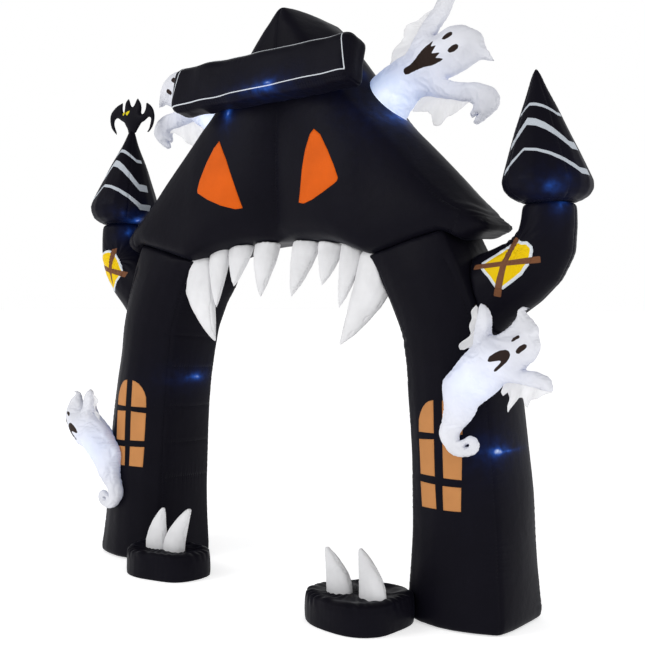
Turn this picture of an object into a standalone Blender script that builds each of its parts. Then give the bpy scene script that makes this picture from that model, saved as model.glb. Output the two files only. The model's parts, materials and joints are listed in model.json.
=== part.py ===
"""Inflatable arch: two blown-up tower legs, a peaked roof between them, turrets, teeth and ghosts.

Metres, +Z up, face towards -Y. The legs stand on z = 0 and x = 0 is the centre seam of the roof.
"""
import math

import bmesh
import bpy
import numpy as np
from mathutils import Matrix, Vector

# Driving dimensions
GAP = 0.0003                # clearance where two sewn pieces meet
SLIVER = 0.00002            # edges shorter than this are closed up after a cut
PANEL = 0.0022              # a flat sewn-on panel
VEIL = 0.003                # the ragged cloth under a ghost's arm
LEG_BACK = 0.38             # back of the legs, in y
EAVE_INNER = (0.614, 1.7311)   # x and z of the seam between leg and roof, at the opening
EAVE_OUTER = (1.03, 1.842)     # and at the turret side
NECK_TOP = 1.945            # where the right turret's point is sewn to its neck
SIGN_CENTRE = (-0.02, -0.062, 2.668)
SIGN_SIZE = (1.25, 0.17, 0.262)
SIGN_ROLL = math.radians(1.1)
SIGN_LEAN = math.radians(12.5)

BLACK = "14141a"
TAN = "c0854d"
ORANGE = "e2630f"
GHOST_WHITE = "e4e6ee"
TOOTH_WHITE = "dcdcdc"
YELLOW = "e5c700"

# Leg sections, from the floor up. Heights are given at the inner and the outer side, because the top slopes.
# inner z, outer z, inner x at the front, inner x at the back, outer x, front y, front swell, side swell
LEG_SECTIONS = [
    (0.000, 0.000, 0.850, 0.832, 1.366, -0.033, 0.066, 0.006),
    (0.035, 0.035, 0.852, 0.835, 1.371, -0.032, 0.071, 0.012),
    (0.120, 0.120, 0.856, 0.841, 1.361, -0.022, 0.074, 0.020),
    (0.250, 0.250, 0.861, 0.847, 1.348, -0.010, 0.079, 0.026),
    (0.430, 0.430, 0.865, 0.850, 1.333, 0.002, 0.085, 0.028),
    (0.600, 0.600, 0.861, 0.849, 1.319, 0.006, 0.088, 0.030),
    (0.750, 0.750, 0.854, 0.845, 1.302, 0.009, 0.088, 0.030),
    (0.900, 0.900, 0.841, 0.835, 1.284, 0.011, 0.088, 0.030),
    (1.050, 1.060, 0.830, 0.815, 1.264, 0.014, 0.086, 0.030),
    (1.200, 1.215, 0.820, 0.787, 1.232, 0.018, 0.080, 0.028),
    (1.350, 1.370, 0.793, 0.752, 1.207, 0.017, 0.074, 0.026),
    (1.500, 1.540, 0.729, 0.682, 1.162, 0.012, 0.066, 0.024),
    (1.620, 1.690, 0.672, 0.598, 1.103, 0.006, 0.055, 0.018),
    (EAVE_INNER[1] - GAP, EAVE_OUTER[1] - GAP, EAVE_INNER[0], 0.560, EAVE_OUTER[0], 0.000, 0.030, 0.000),
]

# Roof sections, from the centre seam out. One side is given, the other mirrors it.
# x, underside z, edge z, slope's crown, front edge y, front swell, lowest line y, roll height, back y low and high
ROOF_SECTIONS = [
    (0.000, 1.815, 3.070, 0.004, 0.040, 0.020, 0.130, 0.120, 0.430, 0.570),
    (0.035, 1.815, 3.032, 0.026, 0.040, 0.036, 0.130, 0.120, 0.435, 0.572),
    (0.080, 1.815, 2.976, 0.056, 0.038, 0.052, 0.128, 0.120, 0.438, 0.564),
    (0.140, 1.815, 2.908, 0.090, 0.034, 0.068, 0.124, 0.120, 0.440, 0.550),
    (0.220, 1.814, 2.814, 0.126, 0.028, 0.082, 0.116, 0.118, 0.443, 0.530),
    (0.315, 1.805, 2.696, 0.138, 0.020, 0.094, 0.106, 0.114, 0.445, 0.508),
    (0.400, 1.791, 2.592, 0.130, 0.010, 0.094, 0.095, 0.108, 0.445, 0.490),
    (0.480, 1.768, 2.508, 0.110, 0.004, 0.090, 0.082, 0.096, 0.445, 0.478),
    (0.550, 1.747, 2.446, 0.092, 0.000, 0.082, 0.066, 0.078, 0.443, 0.468),
    (EAVE_INNER[0], EAVE_INNER[1], 2.380, 0.080, 0.000, 0.074, 0.050, 0.062, 0.440, 0.460),
    (0.700, 1.7540, 2.296, 0.084, 0.000, 0.066, 0.030, 0.054, 0.436, 0.452),
    (0.800, 1.7807, 2.204, 0.086, 0.000, 0.058, 0.020, 0.050, 0.430, 0.444),
    (0.900, 1.8073, 2.110, 0.090, 0.000, 0.048, 0.020, 0.046, 0.424, 0.436),
    (0.970, 1.8260, 2.044, 0.088, 0.002, 0.042, 0.024, 0.042, 0.418, 0.430),
    (EAVE_OUTER[0], EAVE_OUTER[1], 1.988, 0.078, 0.010, 0.036, 0.034, 0.038, 0.412, 0.422),
    (1.100, 1.8330, 1.936, 0.056, 0.026, 0.030, 0.056, 0.034, 0.404, 0.410),
    (1.160, 1.8270, 1.898, 0.024, 0.046, 0.022, 0.084, 0.028, 0.392, 0.396),
    (1.205, 1.8300, 1.871, 0.008, 0.074, 0.012, 0.110, 0.016, 0.372, 0.374),
    (1.226, 1.8390, 1.856, 0.001, 0.110, 0.002, 0.125, 0.006, 0.345, 0.345),
]
ROOF_BACK_SWELL = 0.02
ROOF_BACK_ROLL = 0.05

# A right-hand arm from inside the leg to the neck: x, z, radius across, radius in depth
ARM_PATH = [
    (1.120, 1.505, 0.206, 0.152),
    (1.200, 1.556, 0.190, 0.150),
    (1.275, 1.594, 0.174, 0.148),
    (1.352, 1.634, 0.163, 0.145),
    (1.424, 1.692, 0.153, 0.140),
    (1.473, 1.768, 0.143, 0.134),
    (1.488, 1.856, 0.130, 0.128),
    (1.488, NECK_TOP, 0.124, 0.124),
]
ARM_Y = 0.19
LEFT_NECK_SHIFT = (-0.078, 0.038)   # the left neck stands nearer to the leg, and higher

# Turret points: z, x of the middle, radius
RIGHT_POINT = [
    (NECK_TOP + GAP, 1.488, 0.121),
    (1.957, 1.487, 0.146),
    (1.978, 1.484, 0.180),
    (2.008, 1.479, 0.202),
    (2.044, 1.473, 0.207),
    (2.086, 1.468, 0.193),
    (2.160, 1.460, 0.166),
    (2.270, 1.448, 0.125),
    (2.380, 1.436, 0.082),
    (2.470, 1.426, 0.045),
    (2.525, 1.420, 0.022),
    (2.553, 1.416, 0.006),
]
LEFT_POINT = [
    (NECK_TOP + LEFT_NECK_SHIFT[1] + GAP, -1.410, 0.121),
    (1.996, -1.408, 0.144),
    (2.020, -1.404, 0.180),
    (2.058, -1.398, 0.201),
    (2.088, -1.393, 0.207),
    (2.130, -1.387, 0.196),
    (2.200, -1.377, 0.168),
    (2.300, -1.362, 0.127),
    (2.390, -1.348, 0.086),
    (2.470, -1.336, 0.050),
    (2.530, -1.326, 0.024),
    (2.558, -1.321, 0.007),
]

# Upper teeth of the right side: base x y z, tip x y z, sideways bow, half width, half depth
UPPER_TEETH = [
    ((0.141, 0.125, 1.870), (0.106, 0.010, 1.522), 0.010, 0.086, 0.052),
    ((0.315, 0.110, 1.862), (0.307, 0.017, 1.582), 0.008, 0.082, 0.050),
    ((0.466, 0.088, 1.830), (0.425, 0.004, 1.465), 0.014, 0.070, 0.046),
    ((0.640, 0.075, 1.700), (0.431, 0.003, 1.284), 0.045, 0.112, 0.058),
]
# Lower teeth: base x y z, tip x y z, sideways bow, half width, half depth
LOWER_TEETH = [
    ((-0.712, -0.185, 0.100), (-0.650, -0.185, 0.360), -0.030, 0.064, 0.036),
    ((-0.598, -0.175, 0.100), (-0.455, -0.175, 0.375), -0.040, 0.062, 0.036),
    ((0.660, -0.280, 0.100), (0.572, -0.280, 0.335), 0.034, 0.062, 0.038),
    ((0.848, -0.280, 0.100), (0.770, -0.280, 0.355), 0.034, 0.062, 0.038),
]

# Pods: corners of the plan that a smooth curve passes through
LEFT_POD_PLAN = [
    (-0.845, -0.285), (-0.720, -0.340), (-0.580, -0.327), (-0.450, -0.287), (-0.402, -0.180),
    (-0.422, -0.048), (-0.530, 0.008), (-0.720, 0.010), (-0.885, -0.008), (-0.905, -0.150),
]
RIGHT_POD_PLAN = [
    (0.940, -0.378), (0.960, -0.256), (0.950, -0.110), (0.885, -0.024), (0.750, -0.010), (0.600, -0.033),
    (0.490, -0.115), (0.450, -0.225), (0.478, -0.330), (0.575, -0.412), (0.710, -0.450), (0.850, -0.448),
]
# height, share of the plan
POD_SECTIONS = [
    (0.000, 0.94), (0.020, 0.985), (0.060, 1.00), (0.100, 0.98), (0.132, 0.89), (0.149, 0.72), (0.157, 0.42),
]

# Ghosts on the roof and on the legs: along, up, radius
ROOF_GHOST_BODY = [
    (-0.070, -0.100, 0.120), (0.000, 0.000, 0.134), (0.076, 0.067, 0.128), (0.166, 0.138, 0.124),
    (0.250, 0.190, 0.120), (0.335, 0.226, 0.116), (0.408, 0.238, 0.098), (0.466, 0.216, 0.066),
    (0.512, 0.180, 0.028), (0.536, 0.152, 0.006),
]
ROOF_GHOST_REACHING = [
    (0.130, 0.110, 0.050), (0.200, 0.048, 0.045), (0.320, 0.028, 0.042), (0.450, 0.016, 0.041),
    (0.530, -0.020, 0.038), (0.545, -0.080, 0.028), (0.505, -0.128, 0.017), (0.462, -0.152, 0.007),
]
LEFT_ROOF_GHOST_REACHING = [
    (0.130, 0.120, 0.050), (0.200, 0.080, 0.045), (0.320, 0.074, 0.042), (0.450, 0.068, 0.041),
    (0.530, 0.034, 0.038), (0.545, -0.026, 0.028), (0.508, -0.082, 0.017), (0.466, -0.124, 0.007),
]
ROOF_GHOST_RAISED = [
    (0.150, 0.190, 0.058), (0.190, 0.300, 0.056), (0.235, 0.395, 0.050), (0.280, 0.470, 0.046),
    (0.305, 0.530, 0.036), (0.312, 0.568, 0.016),
]
LEG_GHOST_BODY = [
    (0.250, 0.329, 0.012), (0.242, 0.284, 0.052), (0.220, 0.218, 0.082), (0.144, 0.121, 0.094),
    (0.070, 0.056, 0.106), (0.000, -0.010, 0.110), (-0.068, -0.101, 0.081), (-0.108, -0.176, 0.068),
    (-0.124, -0.243, 0.052), (-0.094, -0.298, 0.040), (-0.046, -0.306, 0.038), (-0.010, -0.280, 0.016),
]
LEG_GHOST_RAISED = [
    (0.034, 0.060, 0.050), (0.027, 0.160, 0.040), (0.034, 0.240, 0.037), (0.037, 0.310, 0.035),
    (0.032, 0.350, 0.018),
]
LEG_GHOST_REACHING = [
    (0.095, 0.062, 0.050), (0.197, 0.037, 0.041), (0.290, 0.030, 0.039), (0.340, -0.002, 0.035),
    (0.360, -0.034, 0.016),
]
GHOST_DEPTH = 0.82          # a ghost's depth to its width
RIGHT_ROOF_GHOST_SITE = (0.559, 0.262, 2.534)
RIGHT_ROOF_GHOST_TURN = math.radians(16.5)
LEFT_ROOF_GHOST_SITE = (-0.650, 0.298, 2.546)
LEFT_ROOF_GHOST_TURN = math.radians(-1)
LEG_GHOST_SITE = (1.275, -0.100, 1.145)
LEG_GHOST_TURN = math.radians(2)
LEFT_LEG_GHOST_DROP = 0.515
LEFT_LEG_GHOST_REACH = 0.070    # how much further out the left leg's ghost holds its arm

# Ragged cloths: the edge sewn to the ghost, then the free edge, both in the ghost's own along and up
ROOF_RAISED_VEIL = (
    [(0.232, 0.425), (0.205, 0.350), (0.170, 0.270), (0.140, 0.190)],
    [(0.205, 0.438), (0.076, 0.372), (0.066, 0.318), (0.030, 0.262), (-0.008, 0.186), (0.030, 0.192),
     (0.060, 0.170)],
)
ROOF_REACHING_VEIL = (
    [(0.110, 0.020), (0.200, 0.030), (0.320, 0.020), (0.430, 0.005)],
    [(0.120, -0.072), (0.194, -0.072), (0.228, -0.148), (0.270, -0.112), (0.333, -0.077), (0.395, -0.048),
     (0.440, -0.060)],
)
LEFT_ROOF_REACHING_VEIL = (
    [(0.110, 0.045), (0.200, 0.062), (0.320, 0.056), (0.430, 0.048)],
    [(0.120, -0.066), (0.194, -0.060), (0.228, -0.134), (0.270, -0.100), (0.333, -0.060), (0.395, -0.020),
     (0.440, -0.020)],
)
LEG_RAISED_VEIL = (
    [(0.028, 0.325), (0.028, 0.250), (0.022, 0.170), (0.022, 0.100)],
    [(-0.012, 0.338), (-0.032, 0.305), (-0.034, 0.225), (-0.094, 0.149), (-0.055, 0.143), (-0.045, 0.118)],
)
LEG_REACHING_VEIL = (
    [(0.110, 0.030), (0.200, 0.030), (0.285, 0.020), (0.340, -0.010)],
    [(0.110, -0.066), (0.163, -0.128), (0.205, -0.085), (0.254, -0.100), (0.294, -0.066), (0.362, -0.066)],
)

# The bat's right half, from the dip between the ears to the neck: x and z from its middle
BAT_HALF = [
    (0.000, 0.058), (0.038, 0.102), (0.064, 0.062), (0.103, 0.074), (0.096, 0.034), (0.086, 0.018),
    (0.168, 0.046), (0.202, -0.009), (0.183, -0.058), (0.134, -0.104), (0.157, -0.050), (0.153, -0.023),
    (0.134, -0.012), (0.118, -0.020), (0.068, -0.046), (0.040, -0.085), (0.036, -0.122),
]
BAT_CENTRE = (-1.325, 0.19, 2.654)
BAT_HALF_THICKNESS = 0.014

# An eye panel's outline on the roof's front, right-hand side, in x and z
EYE_OUTLINE = [(0.200, 2.008), (0.345, 2.040), (0.484, 2.106), (0.465, 2.235), (0.332, 2.358), (0.238, 2.190)]
# Window rows: bottom z, top z, x of the inner column's left and right side, x of the outer column's sides
PANE_ROWS = [
    ("low", 0.550, 0.680, 0.966, 1.062, 1.102, 1.194),
    ("middle", 0.697, 0.857, 0.957, 1.053, 1.093, 1.183),
    ("top", 0.890, 1.052, 0.946, 1.043, 1.083, 1.168),
]
PANE_ARCH_DROP = 0.052      # how far the top row's arch falls towards its outer corners
# Diamond panels on the arms: x and z of the corners
DIAMOND_RIGHT = [(1.208, 1.674), (1.312, 1.550), (1.467, 1.766), (1.350, 1.782)]
DIAMOND_LEFT = [(-1.480, 1.700), (-1.385, 1.562), (-1.252, 1.738), (-1.334, 1.824)]


def clear_scene():
    for old in list(bpy.data.objects):
        bpy.data.objects.remove(old, do_unlink=True)


def collection(name):
    made = bpy.data.collections.new(name)
    bpy.context.scene.collection.children.link(made)
    return made


def linear(channel):
    return channel / 12.92 if channel <= 0.04045 else ((channel + 0.055) / 1.055) ** 2.4


def cloth(name, colour, roughness):
    """A Principled material from an sRGB hex colour."""
    material = bpy.data.materials.new(name)
    material.use_nodes = True
    shader = material.node_tree.nodes["Principled BSDF"]
    channels = [linear(int(colour[i:i + 2], 16) / 255) for i in (0, 2, 4)]
    shader.inputs["Base Color"].default_value = (*channels, 1.0)
    shader.inputs["Roughness"].default_value = roughness
    shader.inputs["Metallic"].default_value = 0.0
    return material


def new_object(name, mesh, home):
    made = bpy.data.objects.new(name, mesh)
    home.objects.link(made)
    return made


def to_object(name, bm, home):
    """A closed bmesh turned outwards and made an object, in triangles so that grown copies fold alike."""
    bmesh.ops.triangulate(bm, faces=bm.faces)
    bmesh.ops.recalc_face_normals(bm, faces=bm.faces)
    if bm.calc_volume(signed=True) < 0:
        bmesh.ops.reverse_faces(bm, faces=bm.faces)
    mesh = bpy.data.meshes.new(name)
    bm.to_mesh(mesh)
    bm.free()
    return new_object(name, mesh, home)


def loft(name, rings, home):
    """A skin over rings of equal length, closed by a face at each end."""
    bm = bmesh.new()
    rows = [[bm.verts.new(point) for point in ring] for ring in rings]
    count = len(rows[0])
    for low, high in zip(rows, rows[1:]):
        for i in range(count):
            j = (i + 1) % count
            bm.faces.new((low[i], low[j], high[j], high[i]))
    bm.faces.new(reversed(rows[0]))
    bm.faces.new(rows[-1])
    return to_object(name, bm, home)


def evaluated_mesh(piece):
    bpy.context.view_layer.update()
    graph = bpy.context.evaluated_depsgraph_get()
    return bpy.data.meshes.new_from_object(piece.evaluated_get(graph), depsgraph=graph)


def boolean(piece, other, operation):
    """Joins or cuts piece with other, and keeps the result in its mesh."""
    modifier = piece.modifiers.new(operation.title(), "BOOLEAN")
    modifier.operation = operation
    modifier.solver = "EXACT"
    modifier.object = other
    bm = bmesh.new()
    bm.from_mesh(evaluated_mesh(piece))
    bmesh.ops.dissolve_degenerate(bm, edges=bm.edges, dist=SLIVER)
    bmesh.ops.triangulate(bm, faces=bm.faces)
    bm.to_mesh(piece.data)
    bm.free()
    piece.modifiers.clear()


def helper(piece):
    piece.hide_render = True
    piece.display_type = "WIRE"
    return piece


def grown(carrier, distance):
    """A hidden copy of carrier whose faces all stand out by distance."""
    name = f"{carrier.name}_grown_{distance * 1000:.1f}"
    if name in bpy.data.objects:
        return bpy.data.objects[name]
    bm = bmesh.new()
    bm.from_mesh(carrier.data)
    bm.normal_update()
    moved = [(v, v.co + v.normal * distance * min(v.calc_shell_factor(), 2.0)) for v in bm.verts]
    for vertex, place in moved:
        vertex.co = place
    mesh = bpy.data.meshes.new(name)
    bm.to_mesh(mesh)
    bm.free()
    return helper(new_object(name, mesh, CUTTERS))


def seat(piece, *carriers):
    """Cuts piece so that it fits against each carrier with the sewing gap between them."""
    for carrier in carriers:
        boolean(piece, grown(carrier, GAP), "DIFFERENCE")


def shifted(points, along):
    return [(point[0] + along, *point[1:]) for point in points]


def closed_curve(points, steps):
    """Points on a smooth closed curve through the given ones."""
    corners = [Vector(p) for p in points]
    count = len(corners)
    result = []
    for i in range(count):
        before, start, end, after = (corners[(i + k) % count] for k in (-1, 0, 1, 2))
        for step in range(steps):
            t = step / steps
            result.append(
                0.5 * (2 * start + (end - before) * t
                       + (2 * before - 5 * start + 4 * end - after) * t * t
                       + (3 * start - before - 3 * end + after) * t ** 3))
    return result


def finish(piece, material):
    """Hands a finished piece its cloth and soft shading."""
    piece.data.materials.clear()
    piece.data.materials.append(material)
    piece.data.shade_smooth()
    piece.data.set_sharp_from_angle(angle=math.radians(38))
    piece.parent = ARCH
    return piece


# Legs ------------------------------------------------------------------------------------------

def leg_ring(row, side, steps=5):
    """One four-cornered section whose sides swell between the corner seams."""
    inner_z, outer_z, inner_front, inner_back, outer, front, front_swell, side_swell = row
    slope = (outer_z - inner_z) / (outer - inner_front)
    corners = [(outer, front), (outer, LEG_BACK), (inner_back, LEG_BACK), (inner_front, front)]
    swells = [(side_swell, 0.0), (0.0, side_swell * 1.3), (-side_swell, 0.0), (0.0, -front_swell)]
    ring = []
    for i, (x0, y0) in enumerate(corners):
        x1, y1 = corners[(i + 1) % 4]
        for step in range(steps):
            t = step / steps
            crown = 4 * t * (1 - t)
            x = x0 + (x1 - x0) * t + swells[i][0] * crown
            y = y0 + (y1 - y0) * t + swells[i][1] * crown
            ring.append((side * x, y, inner_z + (x - inner_front) * slope))
    return ring


def make_leg(name, side):
    return loft(name, [leg_ring(row, side) for row in LEG_SECTIONS], PARTS)


# Roof ------------------------------------------------------------------------------------------

def roof_ring(row, side):
    """One section across the roof: roll, front panel, slope, back panel and underside."""
    x, under, edge_z, crown, edge, swell, low_y, roll, back_low, back_high = row
    face = edge - swell
    back_roll = min(ROOF_BACK_ROLL, 0.4 * (edge_z - under))
    ring = []
    for step in range(4):
        angle = math.pi / 2 * step / 4
        ring.append((low_y - (low_y - face) * math.sin(angle), under + roll * (1 - math.cos(angle))))
    for step in range(6):
        s = step / 6
        ring.append((face + swell * s ** 3, under + roll + (edge_z - under - roll) * s))
    for step in range(5):
        s = step / 5
        ring.append((edge + (back_high - edge) * s, edge_z + crown * (1 - (2 * s - 1) ** 2) ** 1.4))
    for step in range(5):
        s = step / 5
        out = ROOF_BACK_SWELL * (1 - (2 * s - 1) ** 2)
        ring.append((back_high + (back_low - back_high) * s + out,
                     edge_z + (under + back_roll - edge_z) * s))
    for step in range(3):
        angle = math.pi / 2 * step / 3
        ring.append((back_low - back_roll * (1 - math.cos(angle)), under + back_roll * (1 - math.sin(angle))))
    for step in range(2):
        ring.append((back_low - back_roll + (low_y - back_low + back_roll) * step / 2, under))
    return [(side * x, y, z) for y, z in ring]


def make_roof():
    left = [roof_ring(row, -1) for row in reversed(ROOF_SECTIONS[1:])]
    right = [roof_ring(row, 1) for row in ROOF_SECTIONS]
    return loft("roof", left + right, PARTS)


# Tubes: arms, turret points, teeth and ghosts ----------------------------------------------------

def tube(name, spine, place, sides, home):
    """Elliptical rings square to a flat spine of (along, up, radius, depth) rows.

    place turns (along, up, depth) into a point of the arch.
    """
    rings = []
    for i, (a, b, radius, depth) in enumerate(spine):
        before = spine[max(i - 1, 0)]
        after = spine[min(i + 1, len(spine) - 1)]
        run = Vector((after[0] - before[0], after[1] - before[1])).normalized()
        across = Vector((run.y, -run.x))
        ring = []
        for k in range(sides):
            angle = 2 * math.pi * k / sides
            reach = radius * math.cos(angle)
            ring.append(place(a + across.x * reach, b + across.y * reach, depth * math.sin(angle)))
        rings.append(ring)
    return loft(name, rings, home)


def upright(side, y):
    """The plane parallel to the arch's face at y, mirrored for side -1."""
    return lambda along, up, depth: (side * along, y - depth, up)


def make_arm(name, side, neck_shift, leg):
    """An arm whose neck is shifted in x and z; the shift grows from the leg to the neck."""
    start, end = ARM_PATH[0][0], ARM_PATH[-1][0]
    path = []
    for x, z, across, depth in ARM_PATH:
        share = (x - start) / (end - start)
        path.append((x + neck_shift[0] * share, z + neck_shift[1] * share, across, depth))
    arm = tube(name, path, upright(side, ARM_Y), 16, PARTS)
    seat(arm, leg)
    return arm


def make_point(name, rows):
    rings = []
    for z, x, radius in rows:
        turn = [2 * math.pi * k / 18 for k in range(18)]
        rings.append([(x + radius * math.cos(t), ARM_Y + radius * math.sin(t), z) for t in turn])
    return loft(name, rings, PARTS)


def horn(name, base, tip, bow, half_width, half_depth, home):
    """A tooth: a bowed cone, round where it is sewn on and blunt at its tip."""
    base, tip = Vector(base), Vector(tip)
    middle = (base + tip) / 2 + Vector((bow, 0, 0))
    shares = [(0.0, 0.86), (0.12, 1.0), (0.28, 0.98), (0.46, 0.85), (0.64, 0.64), (0.80, 0.42), (0.93, 0.20),
              (1.0, 0.06)]
    rings = []
    for t, share in shares:
        centre = base * (1 - t) ** 2 + middle * 2 * t * (1 - t) + tip * t * t
        run = ((middle - base) * (1 - t) + (tip - middle) * t).normalized()
        deep = (Vector((0, 1, 0)) - run * run.y).normalized()
        across = run.cross(deep)
        ring = []
        for k in range(12):
            angle = 2 * math.pi * k / 12
            ring.append(centre + across * math.cos(angle) * half_width * share
                        + deep * math.sin(angle) * half_depth * share)
        rings.append(ring)
    return loft(name, rings, home)


def make_upper_teeth(roof, legs):
    for side in (-1, 1):
        teeth = []
        for number, (base, tip, bow, width, depth) in enumerate(UPPER_TEETH):
            order = 5 + number if side > 0 else 4 - number
            mirror = [Vector((side * x, y, z)) for x, y, z in (base, tip)]
            tooth = horn(f"tooth_{order}", *mirror, side * bow, width, depth, PARTS)
            teeth.append(finish(tooth, TOOTH_CLOTH))
            seat(tooth, roof)
        seat(teeth[-1], legs[side])
        seat(teeth[-2], teeth[-1])


def make_lower_teeth(pods):
    for number, (base, tip, bow, width, depth) in enumerate(LOWER_TEETH, start=1):
        fang = horn(f"fang_{number}", base, tip, bow, width, depth, PARTS)
        seat(fang, pods[-1 if base[0] < 0 else 1])
        finish(fang, TOOTH_CLOTH)


# Ghosts ------------------------------------------------------------------------------------------

def ghost_plane(site, turn, side):
    """Turns (along, up, depth) of a ghost into a point; along runs outwards and back by the turn."""
    along_axis = Vector((side * math.cos(turn), math.sin(turn), 0))
    front_axis = Vector((side * math.sin(turn), -math.cos(turn), 0))
    origin = Vector(site)
    return lambda along, up, depth: origin + along_axis * along + Vector((0, 0, up)) + front_axis * depth


def with_depth(rows):
    return [(along, up, radius, radius * GHOST_DEPTH) for along, up, radius in rows]


def make_ghost(name, place, body, limbs, carriers):
    """A filled ghost, and the plain forms of its body and limbs for its veils to be fitted to."""
    forms = [helper(tube(f"{name}_body", with_depth(body), place, 16, CUTTERS))]
    for number, rows in enumerate(limbs):
        forms.append(helper(tube(f"{name}_limb_{number}", with_depth(rows), place, 10, CUTTERS)))
    ghost = new_object(name, forms[0].data.copy(), PARTS)
    for limb in forms[1:]:
        boolean(ghost, limb, "UNION")
    seat(ghost, *carriers)
    finish(ghost, GHOST_CLOTH)
    return forms


def sample(line, count):
    """Points at even shares of a polyline's length, its own corners kept where they fall."""
    points = np.array(line)
    lengths = np.concatenate([[0], np.cumsum(np.hypot(*np.diff(points, axis=0).T))])
    shares = np.linspace(0, lengths[-1], count)
    return [(float(np.interp(s, lengths, points[:, 0])), float(np.interp(s, lengths, points[:, 1])))
            for s in shares]


def make_veil(name, place, edges, carriers, columns=15, rows=4, wave=0.012, folds=3.5):
    """A single cloth that hangs from a ghost's arm in shallow folds, with a ragged lower edge."""
    top, bottom = (sample(edge, columns) for edge in edges)
    bm = bmesh.new()
    grid = []
    for row in range(rows + 1):
        share = row / rows
        line = []
        for i in range(columns):
            along = top[i][0] + (bottom[i][0] - top[i][0]) * share
            up = top[i][1] + (bottom[i][1] - top[i][1]) * share
            depth = wave * share * math.sin(2 * math.pi * folds * i / columns)
            line.append(bm.verts.new(place(along, up, depth)))
        grid.append(line)
    for low, high in zip(grid, grid[1:]):
        for i in range(columns - 1):
            bm.faces.new((low[i], low[i + 1], high[i + 1], high[i]))
    mesh = bpy.data.meshes.new(name)
    bm.to_mesh(mesh)
    bm.free()
    sheet = new_object(f"{name}_sheet", mesh, CUTTERS)
    thickness = sheet.modifiers.new("Thickness", "SOLIDIFY")
    thickness.thickness = VEIL
    thickness.offset = 0
    bm = bmesh.new()
    bm.from_mesh(evaluated_mesh(sheet))
    bpy.data.objects.remove(sheet, do_unlink=True)
    veil = to_object(name, bm, PARTS)
    seat(veil, *carriers)
    finish(veil, VEIL_CLOTH)


# Flat panels, sign, pods and bat -------------------------------------------------------------------

def prism(name, outline, near, far):
    """A block whose section is an outline in x and z, from y = near to y = far."""
    rings = [[(x, y, z) for x, z in outline] for y in (near, far)]
    return loft(name, rings, CUTTERS)


def make_panel(name, outline, carrier, material, near=-0.3, far=0.14):
    """A thin panel that lies on the carrier's front, inside the outline."""
    panel = prism(name, outline, near, far)
    CUTTERS.objects.unlink(panel)
    PARTS.objects.link(panel)
    boolean(panel, grown(carrier, GAP + PANEL), "INTERSECT")
    boolean(panel, grown(carrier, GAP), "DIFFERENCE")
    return finish(panel, material)


def pane_outline(row, inner_column):
    """The inner column's panes are plain; the top row's outer upper corners are rounded off."""
    label, low, high, inner_left, inner_right, outer_left, outer_right = row
    left, right = (inner_left, inner_right) if inner_column else (outer_left, outer_right)
    outline = [(left, low), (right, low)]
    if label != "top":
        return outline + [(right, high), (left, high)]
    arch = []
    for step in range(5):
        share = step / 4
        height = high - PANE_ARCH_DROP * (1 - math.sqrt(1 - (0.92 * share) ** 2)) / 0.61
        arch.append((right - (right - left) * share if inner_column else left + (right - left) * share, height))
    return outline + (arch if inner_column else arch[::-1])


def make_panes(side, side_name, leg):
    panes = []
    for row in PANE_ROWS:
        for column_name, inner in (("inner", True), ("outer", False)):
            outline = [(side * x, z) for x, z in pane_outline(row, inner)]
            panes.append(make_panel(f"pane_{side_name}_{column_name}_{row[0]}", outline, leg, PANE_CLOTH))
    return panes


def make_sign(roof):
    """A long pillow that leans back against the roof's front."""
    bpy.ops.mesh.primitive_cube_add(size=1)
    cube = bpy.context.object
    mesh = cube.data
    bpy.data.objects.remove(cube, do_unlink=True)
    mesh.transform(Matrix.Diagonal((*SIGN_SIZE, 1)))
    turn = Matrix.Rotation(-SIGN_ROLL, 4, "Y") @ Matrix.Rotation(-SIGN_LEAN, 4, "X")
    sign = new_object("sign", mesh, PARTS)
    soft = sign.modifiers.new("Soft edges", "BEVEL")
    soft.width = 0.055
    soft.segments = 4
    sign.data = evaluated_mesh(sign)
    sign.modifiers.clear()
    sign.data.transform(Matrix.Translation(SIGN_CENTRE) @ turn)
    seat(sign, roof)
    return sign


def make_pod(name, plan, leg):
    outline = closed_curve(plan, 3)
    centre = sum(outline, Vector((0, 0))) / len(outline)
    rings = []
    for height, share in POD_SECTIONS:
        rings.append([(*(centre + (point - centre) * share), height) for point in outline])
    pod = loft(name, rings, PARTS)
    seat(pod, leg)
    return pod


def make_bat(point):
    half = BAT_HALF
    outline = half + [(-x, z) for x, z in reversed(half[1:])]
    flat = bpy.data.curves.new("bat", "CURVE")
    flat.dimensions = "2D"
    flat.fill_mode = "BOTH"
    flat.extrude = BAT_HALF_THICKNESS - 0.007
    flat.bevel_depth = 0.007
    flat.bevel_resolution = 1
    flat.offset = -0.007
    spline = flat.splines.new("POLY")
    spline.points.add(len(outline) - 1)
    for place, (x, z) in zip(spline.points, outline):
        place.co = (x, z, 0, 1)
    spline.use_cyclic_u = True
    drawn = new_object("bat_outline", flat, CUTTERS)
    mesh = evaluated_mesh(drawn)
    bpy.data.objects.remove(drawn, do_unlink=True)
    bm = bmesh.new()
    bm.from_mesh(mesh)
    bmesh.ops.remove_doubles(bm, verts=bm.verts, dist=0.00001)
    bmesh.ops.transform(bm, matrix=Matrix.Translation(BAT_CENTRE) @ Matrix.Rotation(math.pi / 2, 4, "X"),
                        verts=bm.verts)
    bat = to_object("bat", bm, PARTS)
    seat(bat, point)
    return bat


def stand_on_origin():
    """Moves the arch so that the middle of its footprint box is the origin."""
    bpy.context.view_layer.update()
    corners = [vertex.co for piece in PARTS.objects if piece.type == "MESH" for vertex in piece.data.vertices]
    low = Vector(min(c[i] for c in corners) for i in range(3))
    high = Vector(max(c[i] for c in corners) for i in range(3))
    ARCH.location = (-(low.x + high.x) / 2, -(low.y + high.y) / 2, -low.z)


clear_scene()
PARTS = collection("Inflatable arch")
CUTTERS = collection("Cutters")
ARCH = bpy.data.objects.new("arch", None)
PARTS.objects.link(ARCH)

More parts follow.
